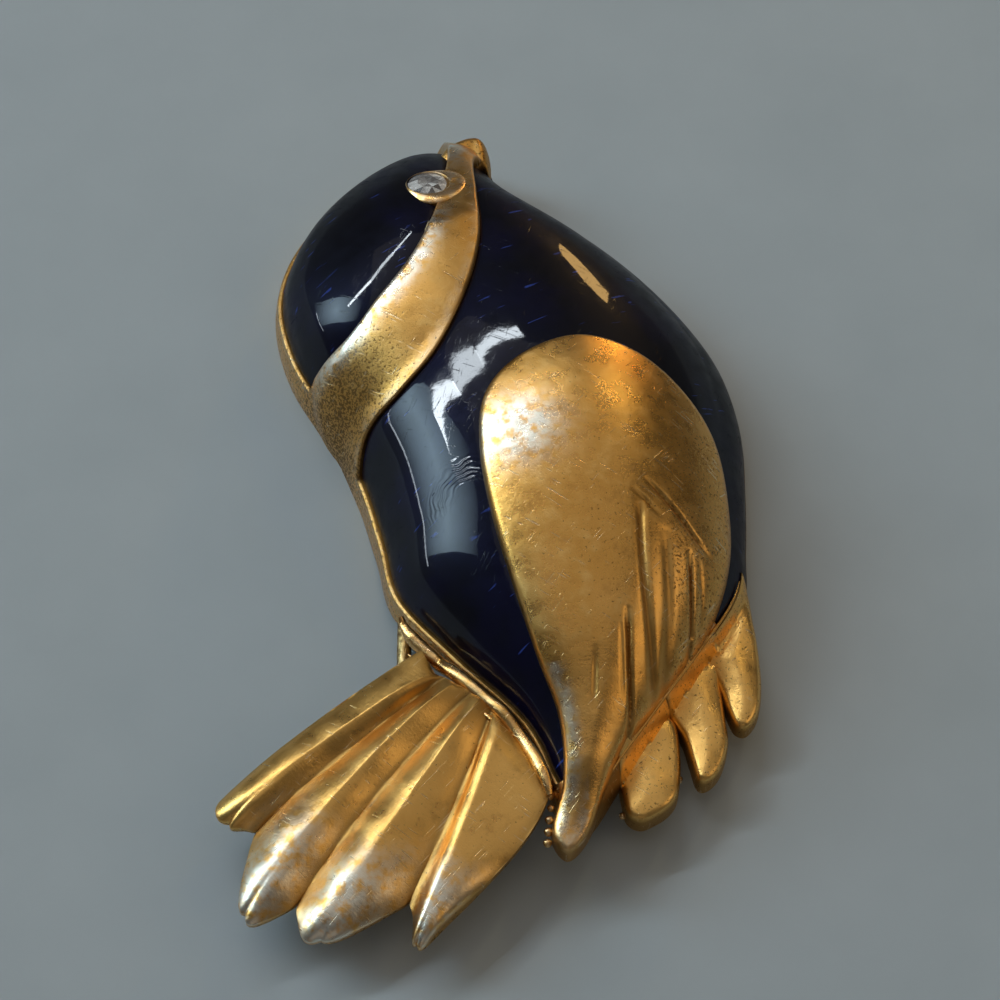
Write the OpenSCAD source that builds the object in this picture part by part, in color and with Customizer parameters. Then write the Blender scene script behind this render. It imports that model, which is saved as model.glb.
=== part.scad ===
// Brooch in the form of a plump bird: a hollow gold-tone casting with two enamel fields,
// a faceted eye stone and a pin. It lies on its back, +Y towards the head, +Z its face.

/* [Overall] */
// Length of the bird from tail tips to crown
length = 52; // [44:1:62]
// Width from tail tip to breast lobes
width = 29; // [25:0.5:36]
// Height of the body's crest above the surface that it lies on
crest_h = 9.1; // [7.5:0.1:12]
// How far the lower back edge rises towards the tail
tail_lift = 2.4; // [1.8:0.1:3]

/* [Casting] */
// Wall from the outer surface to the hollow back
wall = 1.9; // [1.6:0.1:2.4]
// Width of the metal rim between enamel and outline
rim_w = 0.45; // [0.35:0.05:0.8]
// Height of the metal side wall below the enamel
rim_h = 1.2; // [0.8:0.1:1.8]
// Height of the wing's edge over the body
wing_edge = 0.5; // [0.3:0.05:0.9]
// Height of the wing's middle over the body
wing_raise = 0.9; // [0.6:0.05:1.4]
// Diameter of the tool that cuts the wing's feather lines
groove_d = 0.5; // [0.3:0.05:0.8]
// Height of the tail's top surface at its creases
tail_z = 3.1; // [2.9:0.1:4]
// Further height of the tail's creases where they meet the body
tail_root_rise = 0.8; // [0.4:0.1:1.2]
// Rise of each tail feather over its creases
tail_rise = 0.8; // [0.7:0.1:1.5]
// Thickness of the tail at its creases
tail_thick = 1.2; // [0.9:0.1:1.3]
// Height of the breast lobes' top surface at their edges
lobe_z = 2.1; // [1.9:0.1:2.6]
// Rise of each breast lobe over its edges
lobe_rise = 0.9; // [0.6:0.1:1.4]
// Thickness of the breast lobes at their edges
lobe_thick = 1; // [0.7:0.1:1.2]
// Diameter of the small casting beads beside the wing tip
bead_d = 0.55; // [0.4:0.05:0.8]

/* [Beak] */
// Thickness of the beak at its root
beak_d = 2.2; // [1.8:0.1:2.8]
// Thickness of the beak's tip
beak_tip_d = 0.7; // [0.5:0.1:1.2]
// Height of the beak's middle line
beak_z = 3.4; // [3:0.1:4.5]

/* [Enamel] */
// Depth of the enamel cells below the metal surface
cell_depth = 0.85; // [0.7:0.05:1.1]
// Step from the metal surface down to the enamel
enamel_drop = 0.2; // [0.1:0.05:0.3]
// Gap between the enamel and its cell
enamel_gap = 0.08; // [0.06:0.01:0.12]

/* [Eye] */
// Diameter of the eye stone
stone_d = 2.35; // [1.9:0.05:2.8]
// Lean of the stone towards the crown, in degrees
stone_lean = 22; // [15:1:30]
// Height of the stone's crown, from girdle to table
stone_crown = 0.45; // [0.3:0.05:0.6]
// Depth of the stone below its girdle
stone_pavilion = 0.85; // [0.6:0.05:1]
// Outer diameter of the bezel round the stone
bezel_d = 3.3; // [3:0.05:4]
// Height of the bezel over the casting
bezel_h = 0.12; // [0.08:0.02:0.3]
// Gap round the stone in its seat
stone_gap = 0.05; // [0.03:0.01:0.1]

/* [Pin] */
// Diameter of the pin stem's wire
wire_d = 0.8; // [0.6:0.05:1]
// Height of the stem's middle line over the surface
wire_z = 0.9; // [0.8:0.05:1]
// Length of the hinge block and of the catch block
block_l = 2.2; // [1.6:0.1:3]
// Width of the hinge block and of the catch block
block_w = 1.9; // [1.4:0.1:2.6]
// Height of the hinge block's top
hinge_top = 2.4; // [2:0.1:3]
// Gap between the pin's blocks and the casting
pin_gap = 0.05; // [0.03:0.01:0.1]

/* [Hidden] */

gold = [0.78, 0.6, 0.3];
navy = [0.05, 0.05, 0.16];
clear = [0.9, 0.92, 0.95];

// Sections of the body, tail to head. Shares of length: y. Shares of width: spine x, left half
// width, right half width. Shares of crest_h: crest. Shares of tail_lift: lift of the back edge.
BODY = [
    [-0.413,  0.148, 0.045, 0.034, 0.44, 1.00],
    [-0.337,  0.166, 0.066, 0.060, 0.54, 1.00],
    [-0.269,  0.172, 0.121, 0.131, 0.66, 0.88],
    [-0.192,  0.159, 0.234, 0.238, 0.80, 0.67],
    [-0.115,  0.145, 0.331, 0.331, 0.90, 0.33],
    [-0.038,  0.131, 0.355, 0.359, 0.97, 0.08],
    [ 0.038,  0.103, 0.369, 0.393, 1.00, 0.00],
    [ 0.115,  0.062, 0.393, 0.431, 0.99, 0.00],
    [ 0.192,  0.014, 0.421, 0.441, 0.96, 0.00],
    [ 0.269, -0.034, 0.410, 0.403, 0.91, 0.00],
    [ 0.346, -0.069, 0.376, 0.321, 0.87, 0.00],
    [ 0.423, -0.076, 0.338, 0.155, 0.82, 0.00],
    [ 0.500, -0.069, 0.283, 0.090, 0.79, 0.00],
];
// The body's two ends and where each starts to close, as shares of length
head_end = 0.504;
head_from = 0.25;
foot_end = -0.388;
foot_from = -0.325;
// Exponents of the body's cross-section and of its ends in side view
side_p = 2.3;
side_q = 2.2;
end_p = 2.6;

// Outline of the wing from its tip up the left edge and down the right, as shares of width, length
WING = [
    [0.134, -0.410], [0.107, -0.385], [0.128, -0.338], [0.121, -0.277], [0.079, -0.213],
    [0.034, -0.137], [0.000, -0.069], [-0.022, 0.004], [-0.014, 0.065], [0.052, 0.113],
    [0.159, 0.142], [0.262, 0.133], [0.352, 0.098], [0.424, 0.042], [0.448, -0.038],
    [0.438, -0.110], [0.393, -0.179], [0.331, -0.231], [0.290, -0.267], [0.256, -0.292],
    [0.231, -0.310], [0.203, -0.346], [0.172, -0.390],
];
// Index of the wing's crown in that outline
wing_top = 10.5;
// Share of the wing over which its tip rounds down, and share of it left off at its pointed ends
wing_tip_share = 0.1;
wing_end_share = 0.004;
// Exponents of the wing's swell from side to side and from tip to crown
wing_side_p = 3;
wing_end_p = 6;

// Crown enamel, lower corner to beak. Shares of length: y on the outline. Shares of width and
// length: x and y on the band's edge.
CROWN = [
    [0.156, -0.348, 0.158],
    [0.202, -0.324, 0.160],
    [0.260, -0.269, 0.173],
    [0.327, -0.214, 0.208],
    [0.385, -0.169, 0.244],
    [0.432, -0.138, 0.281],
    [0.465, -0.117, 0.323],
    [0.481, -0.103, 0.381],
    [0.489, -0.093, 0.432],
    [0.493, -0.095, 0.470],
];

// Body enamel, from the tail round the wing's crown to the breast lobes. Shares of width and
// length: outer x and y. Index on the wing's outline: inner edge.
FIELD = [
    [ 0.114, -0.338, 2.05],
    [ 0.052, -0.268,  3.1],
    [-0.062, -0.200,  4.2],
    [-0.158, -0.138,  5.1],
    [-0.230, -0.050,  5.9],
    [-0.262,  0.019,  6.7],
    [-0.250,  0.064,  7.3],
    [-0.176,  0.093,  7.9],
    [-0.107,  0.135,  8.4],
    [-0.052,  0.208,  8.9],
    [-0.024,  0.288,  9.4],
    [-0.031,  0.365,  9.8],
    [-0.034,  0.440, 10.1],
    [ 0.040,  0.425, 10.4],
    [ 0.170,  0.375, 10.9],
    [ 0.310,  0.300, 11.5],
    [ 0.430,  0.212, 12.1],
    [ 0.490,  0.135, 12.8],
    [ 0.510,  0.038, 13.5],
    [ 0.510, -0.038, 14.2],
    [ 0.480, -0.112, 15.0],
    [ 0.424, -0.155, 15.7],
];

// Folds of the tail and of the breast lobes from left to right: edge, then crest and crease in
// turn, then edge. Shares of width and length: x and y at root, middle and tip.
TAIL = [
    [-0.148, -0.192, -0.317, -0.262, -0.476, -0.338],
    [-0.122, -0.219, -0.301, -0.290, -0.467, -0.369],
    [-0.107, -0.225, -0.276, -0.304, -0.414, -0.375],
    [-0.083, -0.233, -0.259, -0.337, -0.431, -0.467],
    [-0.052, -0.242, -0.197, -0.338, -0.334, -0.450],
    [-0.031, -0.252, -0.169, -0.373, -0.297, -0.494],
    [-0.007, -0.265, -0.072, -0.363, -0.141, -0.450],
    [ 0.014, -0.277, -0.050, -0.385, -0.130, -0.498],
    [ 0.104, -0.346,  0.050, -0.402, -0.070, -0.472],
];
LOBES = [
    [ 0.283, -0.262,  0.255, -0.308,  0.241, -0.352],
    [ 0.321, -0.238,  0.303, -0.304,  0.276, -0.371],
    [ 0.362, -0.204,  0.355, -0.248,  0.355, -0.288],
    [ 0.400, -0.171,  0.403, -0.246,  0.393, -0.327],
    [ 0.424, -0.146,  0.421, -0.185,  0.428, -0.223],
    [ 0.462, -0.112,  0.466, -0.185,  0.469, -0.262],
    [ 0.483, -0.077,  0.497, -0.158,  0.500, -0.227],
];
// How far a fan's root reaches into the body, where its crests are full and where its tips start
// to round, all as shares of its length
root_in = 0.12;
crest_full = 0.3;
round_from = 0.82;
// How far the tips of the tail feathers and of the lobes bulge, as shares of their length
tail_bulge = 0.15;
lobe_bulge = 0.35;
// Crest's height at the root and edge's height at the tip, as shares of the full heights
root_rise = 0.3;
tip_thin = 0.35;

// Feather lines on the wing, each as three points in shares of width and length
GROOVES = [
    [[0.259, -0.037], [0.330, -0.072], [0.395, -0.098]],
    [[0.272, -0.046], [0.283, -0.135], [0.297, -0.225]],
    [[0.348, -0.104], [0.350, -0.160], [0.335, -0.205]],
    [[0.373, -0.108], [0.390, -0.140], [0.378, -0.180]],
    [[0.241, -0.181], [0.246, -0.235], [0.236, -0.300]],
    [[0.190, -0.221], [0.190, -0.245], [0.185, -0.268]],
];

// Beads along the gap between tail and wing tip, from first to last, as shares of width and length
bead_from = [0.121, -0.335];
bead_to = [0.110, -0.400];
bead_count = 5;

// Eye, beak and pin places as shares of width and length, and the beak's thickness at its bend as
// a share of the way from its tip's to its root's
eye_at = [-0.129, 0.376];
beak_root = [-0.080, 0.460];
beak_bend = [-0.040, 0.474];
beak_tip = [-0.014, 0.452];
bend_share = 0.7;
pin_x = -0.165;
hinge_y = 0.27;
catch_y = -0.24;
notch_y = 0.06;

// Sides of the stone's table, the table's share of the stone's diameter, thickness of its girdle,
// breadth of its seat's bottom and height of its table over the bezel
stone_sides = 8;
table_share = 0.55;
girdle_h = 0.08;
seat_end_d = 0.4;
table_over = 0.3;
// Narrow end of the bezel's drop shape and its breadth, as shares of the bezel's diameter
drop_at = [0.46, 0.08];
drop_d = 0.36;

// Steps along and across the lofted pieces
body_steps = 44;
body_strips = 22;
hollow_steps = 26;
hollow_strips = 14;
field_steps = 3;
field_strips = 6;
wing_steps = 26;
wing_strips = 12;
fan_steps = 9;
fold_steps = 4;
// Smallest distance between two rows of an enamel field, and gap under an enamel as a share of
// the gap round it
row_pitch = 1.5;
floor_share = 3;
// Largest share of a field's breadth that its gap takes
most_share = 0.4;
// Smallest breadth at a pointed end
point_w = 0.04;
// Sides of round forms, from the stone's seat to the beads
round_sides = 32;
mid_sides = 16;
small_sides = 8;
// Overlap that joins two parts of the casting, and how far the hollow reaches below the back edge
weld = 0.4;
hollow_drop = 2 * tail_lift;

function mix(a, b, t) = a + (b - a) * t;
function clamp01(t) = min(max(t, 0), 1);
function plan(p) = [p[0] * width, p[1] * length];

// Cubic blend of two rows a and b with slopes m and n at share s between them
function blend(a, b, m, n, s) =
    (2 * s ^ 3 - 3 * s ^ 2 + 1) * a + (s ^ 3 - 2 * s ^ 2 + s) * m
    + (3 * s ^ 2 - 2 * s ^ 3) * b + (s ^ 3 - s ^ 2) * n;

// Smooth row of a table whose first column rises
function place(t, x, i = 0) = i >= len(t) - 2 || x < t[i + 1][0] ? i : place(t, x, i + 1);
function slope(t, i) =
    let (a = max(i - 1, 0), b = min(i + 1, len(t) - 1))
    (t[b] - t[a]) / (t[b][0] - t[a][0]);
function row_at(t, x) =
    let (i = place(t, x), h = t[i + 1][0] - t[i][0])
    blend(t[i], t[i + 1], h * slope(t, i), h * slope(t, i + 1), clamp01((x - t[i][0]) / h));

// Smooth row of a list at index u, open or closed
function pick(t, i, closed) =
    closed ? t[(i + len(t)) % len(t)] : t[min(max(i, 0), len(t) - 1)];
function along(t, u, closed = false) =
    let (
        i = closed ? floor(u) : min(floor(u), len(t) - 2),
        a = pick(t, i, closed),
        b = pick(t, i + 1, closed)
    )
    blend(a, b, (b - pick(t, i - 1, closed)) / 2, (pick(t, i + 2, closed) - a) / 2, u - i);

// How far the body has closed at y, 0 in its middle to 1 at an end
function closing(y, inset) =
    y > head_from * length
    ? clamp01((y - head_from * length) / ((head_end - head_from) * length - inset))
    : clamp01((foot_from * length - y) / ((foot_from - foot_end) * length - inset));

// Body section at y, with its surface moved in by inset: spine x, half widths, crest, back edge.
// An open section doesn't close towards the body's ends.
function section(y, inset, open = false) =
    let (
        r = row_at(BODY, y / length),
        s = open ? 0 : closing(y, inset),
        narrow = sqrt(1 - s ^ 2),
        low = sqrt(1 - s ^ end_p),
        base = max(r[5], 0) * tail_lift
    )
    [
        r[1] * width,
        max((r[2] * width - inset) * narrow, point_w),
        max((r[3] * width - inset) * narrow, point_w),
        base + max((r[4] * crest_h - base - inset) * low, point_w),
        base
    ];
function arch(t) = max(1 - min(abs(t), 1) ^ side_p, 0) ^ (1 / side_q);
function body_z(p, inset, open = false) =
    let (
        s = section(p[1], inset, open),
        t = (p[0] - s[0]) / (p[0] < s[0] ? s[1] : s[2])
    )
    s[4] + (s[3] - s[4]) * arch(t);
function edge_x(y, side, inset) =
    let (s = section(y, inset))
    side < 0 ? s[0] - s[1] : s[0] + s[2];

// Closed solid through rings of points, with its two ends given as faces of the first ring
module loft(rings, ends) {
    n = len(rings[0]);
    last = len(rings) - 1;
    sides = [
        for (i = [0 : last - 1], j = [0 : n - 1])
        let (a = i * n + j, b = i * n + (j + 1) % n)
        each [[a, b + n, b], [a, a + n, b + n]]
    ];
    far_ends = [for (e = ends) [for (k = [len(e) - 1 : -1 : 0]) last * n + e[k]]];
    polyhedron([for (r = rings) each r], concat(sides, ends, far_ends), convexity = 6);
}
function flat_end(n) = [[for (j = [0 : n - 1]) j]];

// Closed solid between two grids of points, one over the other
module slab(top, bottom) {
    n = len(top[0]);
    rings = [
        for (i = [0 : len(top) - 1])
        concat(top[i], [for (j = [n - 1 : -1 : 0]) bottom[i][j]])
    ];
    ends = [
        for (j = [0 : n - 2])
        let (a = 2 * n - 1 - j)
        each [[j, j + 1, a - 1], [j, a - 1, a]]
    ];
    loft(rings, ends);
}

// The body's form with its surface moved in by inset, standing on its back edge or reaching
// below it by drop
module body_form(inset, steps, strips, drop = 0) {
    y0 = foot_end * length + inset;
    y1 = head_end * length - inset;
    rings = [
        for (i = [0 : steps])
        let (
            y = mix(y0, y1, (1 - cos(180 * i / steps)) / 2),
            s = section(y, inset)
        )
        concat(
            drop > 0 ? [[s[0] - s[1], y, s[4] - drop]] : [],
            [
                for (j = [0 : strips])
                let (t = -cos(180 * j / strips))
                [s[0] + t * (t < 0 ? s[1] : s[2]), y, s[4] + (s[3] - s[4]) * arch(t)]
            ],
            drop > 0 ? [[s[0] + s[2], y, s[4] - drop]] : []
        )
    ];
    loft(rings, flat_end(len(rings[0])));
}

// Edges of an enamel field at row u: outer and inner point
function crown_edges(u) =
    let (
        r = along(CROWN, u),
        y = r[0] * length
    )
    [[edge_x(y, -1, rim_w), y], [r[1] * width, r[2] * length]];
function field_edges(u) =
    let (
        r = along(FIELD, u),
        y = r[1] * length,
        x = min(max(r[0] * width, edge_x(y, -1, rim_w)), edge_x(y, 1, rim_w))
    )
    [[x, y], plan(along(WING, r[2], true))];

// Point at share t across an enamel field, its edges moved in by shrink
function rung(e, t, shrink) =
    let (
        d = e[1] - e[0],
        share = min(shrink / max(norm(d), point_w), most_share)
    )
    e[0] + d * mix(share, 1 - share, t);

// Solid over an enamel field, from one inset of the body to another
module field_slab(edges, rows, top_inset, floor_inset, shrink) {
    m = rows * field_steps;
    trim = shrink / row_pitch;
    grid = [
        for (i = [0 : m])
        let (e = edges(mix(trim, rows - trim, i / m)))
        [for (j = [0 : field_strips]) rung(e, j / field_strips, shrink)]
    ];
    slab(
        [for (g = grid) [for (p = g) [p[0], p[1], body_z(p, top_inset)]]],
        [
            for (g = grid)
            [
                for (p = g)
                let (side = section(p[1], 0)[4] + rim_h)
                [p[0], p[1], max(body_z(p, floor_inset), side) + floor_share * shrink]
            ]
        ]
    );
}
module crown_field(top_inset, shrink) {
    field_slab(function(u) crown_edges(u), len(CROWN) - 1, top_inset, cell_depth, shrink);
}
module body_field(top_inset, shrink) {
    field_slab(function(u) field_edges(u), len(FIELD) - 1, top_inset, cell_depth, shrink);
}

// Point on the wing at share u from tip to crown and share t from left edge to right edge
function wing_point(u, t) =
    let (
        a = along(WING, mix(0, wing_top, u), true),
        b = along(WING, mix(len(WING), wing_top, u), true)
    )
    plan(mix(a, b, t));
function wing_over(u, t) =
    let (across = 1 - abs(2 * t - 1) ^ wing_side_p, up = 1 - abs(2 * u - 1) ^ wing_end_p)
    wing_edge + (wing_raise - wing_edge) * sqrt(max(across * up, 0));

function wing_z(p, q) =
    let (
        crest = max(body_z(p, 0, true), tail_z),
        tip = sqrt(1 - (1 - min(q[0] / wing_tip_share, 1)) ^ 2)
    )
    mix(tail_z, crest, tip) + wing_over(q[0], q[1]);

module wing() {
    grid = [
        for (i = [0 : wing_steps])
        let (u = mix(wing_end_share, 1 - wing_end_share, (1 - cos(180 * i / wing_steps)) / 2))
        [for (j = [0 : wing_strips]) [u, j / wing_strips]]
    ];
    slab(
        [
            for (g = grid)
            [for (q = g) let (p = wing_point(q[0], q[1])) [p[0], p[1], wing_z(p, q)]]
        ],
        [
            for (g = grid)
            [for (q = g) let (p = wing_point(q[0], q[1]))
                [p[0], p[1], max(body_z(p, weld), tail_z) - weld]]
        ]
    );
}

// Point at share u of a fold's line through its root, middle and tip
function fold_at(r, u) =
    (1 - u) * (1 - 2 * u) * plan([r[0], r[1]])
    + 4 * u * (1 - u) * plan([r[2], r[3]])
    + u * (2 * u - 1) * plan([r[4], r[5]]);

// Share of the way from a fan's nearest crease or edge to its nearest crest
function to_crest(v) = abs((v + 1) % 2 - 1);

// Fan of feathers or lobes: a folded plate with its crease line at z, higher by slope at its root.
// Its tips bulge forward between crease and crest by a share of its length.
module fan(folds, z, slope, rise, thick, bulge) {
    last = len(folds) - 1;
    grid = [
        for (i = [0 : fan_steps], q = [mix(1, -root_in, 1 - cos(90 * i / fan_steps))])
        [
            for (j = [0 : last * fold_steps])
            let (
                v = j / fold_steps,
                s = to_crest(v),
                arc = sqrt(1 - (1 - s) ^ 2),
                p = fold_at(along(folds, v), q * (1 + bulge * (arc - s))),
                full = mix(root_rise, 1, clamp01(q / crest_full)),
                tip = clamp01((q - round_from) / (1 - round_from)),
                end = sqrt(1 - (1 - tip_thin ^ 2) * tip ^ 2),
                edge = sqrt(min(v, last - v, 1)),
                low = z + slope * clamp01(1 - q)
            )
            [
                p,
                low + rise * (1 - (1 - s) ^ 2) * full * end,
                low - thick * end * mix(tip_thin, 1, edge)
            ]
        ]
    ];
    slab(
        [for (g = grid) [for (q = g) [q[0][0], q[0][1], q[1]]]],
        [for (g = grid) [for (q = g) [q[0][0], q[0][1], q[2]]]]
    );
}

module grooves() {
    for (g = GROOVES, k = [0 : 1])
        hull()
            for (q = [g[k], g[k + 1]])
                let (p = plan(q))
                translate([p[0], p[1], body_z(p, 0) + wing_raise])
                    sphere(d = groove_d, $fn = small_sides);
}

module bead_row() {
    for (i = [0 : bead_count - 1])
        let (p = plan(mix(bead_from, bead_to, i / (bead_count - 1))))
        translate([p[0], p[1], tail_z])
            sphere(d = bead_d, $fn = small_sides);
}

module beak() {
    root = plan(beak_root);
    bend = plan(beak_bend);
    tip = plan(beak_tip);
    bend_d = mix(beak_tip_d, beak_d, bend_share);
    hull() {
        translate([root[0], root[1], beak_z]) sphere(d = beak_d, $fn = mid_sides);
        translate([bend[0], bend[1], beak_z]) sphere(d = bend_d, $fn = mid_sides);
    }
    hull() {
        translate([bend[0], bend[1], beak_z]) sphere(d = bend_d, $fn = mid_sides);
        translate([tip[0], tip[1], beak_z - beak_tip_d]) sphere(d = beak_tip_d, $fn = mid_sides);
    }
}

// Moves its children from the origin to the eye's place on the body and leans them to the crown
module at_eye(over) {
    p = plan(eye_at);
    translate([p[0], p[1], body_z(p, 0)])
        rotate([-stone_lean, 0, 0])
            translate([0, 0, over])
                children();
}

// Drop-shaped bezel that runs out onto the band
module bezel(grow = 0) {
    at_eye(-bezel_d / 2)
        hull() {
            cylinder(d = bezel_d + 2 * grow, h = bezel_d / 2 + bezel_h + grow, $fn = round_sides);
            translate(bezel_d * drop_at)
                cylinder(d = bezel_d * drop_d + 2 * grow, h = bezel_d / 2 + grow, $fn = mid_sides);
        }
}

// Height of the stone's girdle over the casting
function girdle_z() = bezel_h - stone_crown + table_over;

// Round brilliant: a table of n sides, facets down to a girdle of twice as many, a pointed pavilion
module stone_form() {
    n = stone_sides;
    points = concat(
        [for (i = [0 : n - 1]) let (a = 360 * i / n, r = stone_d / 2 * table_share)
            [r * cos(a), r * sin(a), stone_crown]],
        [for (z = [girdle_h / 2, -girdle_h / 2], i = [0 : 2 * n - 1]) let (a = 180 * i / n)
            [stone_d / 2 * cos(a), stone_d / 2 * sin(a), z]],
        [[0, 0, -stone_pavilion]]
    );
    crown = [
        for (i = [0 : n - 1])
        let (j = (i + 1) % n, g = n + 2 * i, k = n + 2 * j)
        each [[i, j, g + 1], [i, g + 1, g], [j, k, g + 1]]
    ];
    sides = [
        for (i = [0 : 2 * n - 1])
        let (a = n + i, b = n + (i + 1) % (2 * n))
        each [[a, b, b + 2 * n, a + 2 * n], [a + 2 * n, b + 2 * n, 5 * n]]
    ];
    polyhedron(points, concat([[for (i = [n - 1 : -1 : 0]) i]], crown, sides));
}
module seat() {
    at_eye(girdle_z()) {
        translate([0, 0, -girdle_h / 2 - stone_gap])
            cylinder(d = stone_d + 2 * stone_gap, h = stone_crown + bezel_d, $fn = round_sides);
        translate([0, 0, -stone_pavilion - 2 * stone_gap])
            cylinder(d1 = seat_end_d, d2 = stone_d, h = stone_pavilion + stone_gap, $fn = round_sides);
    }
}

// Box of the pin's width about its line, from y at the middle of a block, between two heights
module pin_block(y, z0, z1) {
    translate([pin_x * width, y * length, (z0 + z1) / 2])
        cube([block_w, block_l, z1 - z0], center = true);
}

// Slot in the back edge where the stem passes out beside the tail
module stem_notch() {
    breadth = wire_d + 2 * pin_gap;
    top = wire_z + breadth / 2;
    translate([pin_x * width - breadth / 2, catch_y * length, -top])
        cube([breadth, (notch_y - catch_y) * length, 2 * top]);
}

module casting() {
    color(gold)
    difference() {
        union() {
            difference() {
                union() {
                    body_form(0, body_steps, body_strips);
                    beak();
                    fan(TAIL, tail_z, tail_root_rise, tail_rise, tail_thick, tail_bulge);
                    fan(LOBES, lobe_z, 0, lobe_rise, lobe_thick, lobe_bulge);
                }
                crown_field(-wing_raise, 0);
                body_field(-wing_raise, 0);
            }
            wing();
            bezel();
            bead_row();
        }
        difference() {
            body_form(wall, hollow_steps, hollow_strips, hollow_drop);
            pin_block(hinge_y, hinge_top + pin_gap, crest_h);
        }
        grooves();
        seat();
        stem_notch();
    }
}

module crown_enamel() {
    color(navy)
    difference() {
        crown_field(enamel_drop, enamel_gap);
        bezel(enamel_gap);
    }
}

module body_enamel() {
    color(navy)
    body_field(enamel_drop, enamel_gap);
}

module eye_stone() {
    color(clear)
    at_eye(girdle_z())
        stone_form();
}

module pin() {
    color(gold) {
        translate([pin_x * width, hinge_y * length, wire_z])
            rotate([90, 0, 0])
                cylinder(d = wire_d, h = (hinge_y - catch_y) * length, $fn = round_sides);
        pin_block(hinge_y, wire_z - wire_d / 2, hinge_top);
        pin_block(catch_y, 0, tail_z - tail_thick - pin_gap);
    }
}

casting();
crown_enamel();
body_enamel();
eye_stone();
pin();
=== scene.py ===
"""Looks of the bird brooch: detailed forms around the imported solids, aged gold, dark blue enamel."""
import math

import bmesh
import bpy
import numpy as np
from mathutils import Matrix, Quaternion, Vector
from mathutils.geometry import delaunay_2d_cdt


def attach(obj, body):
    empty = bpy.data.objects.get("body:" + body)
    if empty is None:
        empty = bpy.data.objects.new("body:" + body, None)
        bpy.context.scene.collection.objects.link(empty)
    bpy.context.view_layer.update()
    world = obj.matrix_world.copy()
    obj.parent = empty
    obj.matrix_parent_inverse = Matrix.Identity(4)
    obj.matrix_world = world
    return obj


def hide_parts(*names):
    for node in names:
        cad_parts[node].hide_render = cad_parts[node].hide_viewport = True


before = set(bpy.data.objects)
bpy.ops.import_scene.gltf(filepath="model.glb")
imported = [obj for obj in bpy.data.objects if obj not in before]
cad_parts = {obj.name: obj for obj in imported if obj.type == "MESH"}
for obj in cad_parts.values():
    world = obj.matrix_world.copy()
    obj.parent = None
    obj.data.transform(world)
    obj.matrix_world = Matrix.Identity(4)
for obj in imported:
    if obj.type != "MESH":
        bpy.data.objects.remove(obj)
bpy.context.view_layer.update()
scene = bpy.context.scene

# Lengths are millimetres in the part's own frame. Meshes are scaled to metres when they are made.
MM = 0.001
# Overall length and width, the crest's height, and how far the rim is lifted at the tail
LENGTH, WIDTH, CREST_H, LIFT = 52.0, 29.0, 9.1, 2.4
# The casting's wall, the depth of its enamel cells and the round-over at their edges
WALL, CELL, LIP = 1.9, 0.75, 0.16
# Tail: level at the tips, rise to the root, height of a fold, thickness
TAIL_Z, TAIL_SLOPE, TAIL_RISE, TAIL_THICK = 3.1, 0.8, 0.60, 1.2
# Where head and foot end and where they begin to narrow, as shares of the length
HEAD_END, HEAD_FROM, FOOT_END, FOOT_FROM = 0.504, 0.25, -0.388, -0.325
# Exponents of the body's cross-section and of its ends
SIDE_P, SIDE_Q, END_P = 2.3, 2.2, 2.6
# Pin: its place across, its hinge and catch along, the stem's radius and height, the blocks' plan
PIN_X, HINGE_Y, CATCH_Y = -4.785, 14.04, -12.48
STEM_R, STEM_Z = 0.4, 0.9
BLOCK_W, BLOCK_L = 1.9, 2.2
# The notch in the back edge over the stem: its height and where it ends
NOTCH_Z, NOTCH_Y = 1.35, 3.4
# Smallest half width or height at the body's ends
POINT = 0.04

# Sections of the body, tail to head, as shares: y, spine, left and right half widths, crest, lift
BODY = np.array([
    [-0.413, 0.148, 0.045, 0.034, 0.44, 1.00], [-0.337, 0.166, 0.066, 0.060, 0.54, 1.00],
    [-0.269, 0.172, 0.121, 0.131, 0.66, 0.88], [-0.192, 0.159, 0.234, 0.238, 0.80, 0.67],
    [-0.115, 0.145, 0.331, 0.331, 0.90, 0.33], [-0.038, 0.131, 0.355, 0.359, 0.97, 0.08],
    [0.038, 0.103, 0.369, 0.393, 1.00, 0.00], [0.115, 0.062, 0.393, 0.431, 0.99, 0.00],
    [0.192, 0.014, 0.421, 0.441, 0.96, 0.00], [0.269, -0.034, 0.410, 0.403, 0.91, 0.00],
    [0.346, -0.069, 0.376, 0.321, 0.87, 0.00], [0.423, -0.076, 0.338, 0.155, 0.82, 0.00],
    [0.500, -0.069, 0.283, 0.090, 0.79, 0.00]])
# Outline of the wing from its tip up the left edge and down the right
WING = np.array([
    [0.134, -0.410], [0.107, -0.385], [0.128, -0.338], [0.121, -0.277], [0.079, -0.213],
    [0.034, -0.137], [0.000, -0.069], [-0.022, 0.004], [-0.014, 0.065], [0.052, 0.113],
    [0.159, 0.142], [0.262, 0.133], [0.352, 0.098], [0.424, 0.042], [0.448, -0.038],
    [0.438, -0.110], [0.393, -0.179], [0.331, -0.231], [0.290, -0.267], [0.256, -0.292],
    [0.231, -0.310], [0.203, -0.346], [0.172, -0.390]])
# Crown enamel, low end to beak: y on the rim, then x and y on the band's edge
CROWN = np.array([
    [0.156, -0.348, 0.158], [0.202, -0.324, 0.160], [0.260, -0.269, 0.173], [0.327, -0.214, 0.208],
    [0.385, -0.169, 0.244], [0.432, -0.138, 0.281], [0.465, -0.117, 0.323], [0.481, -0.103, 0.381],
    [0.489, -0.093, 0.432], [0.493, -0.095, 0.470]])
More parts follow.
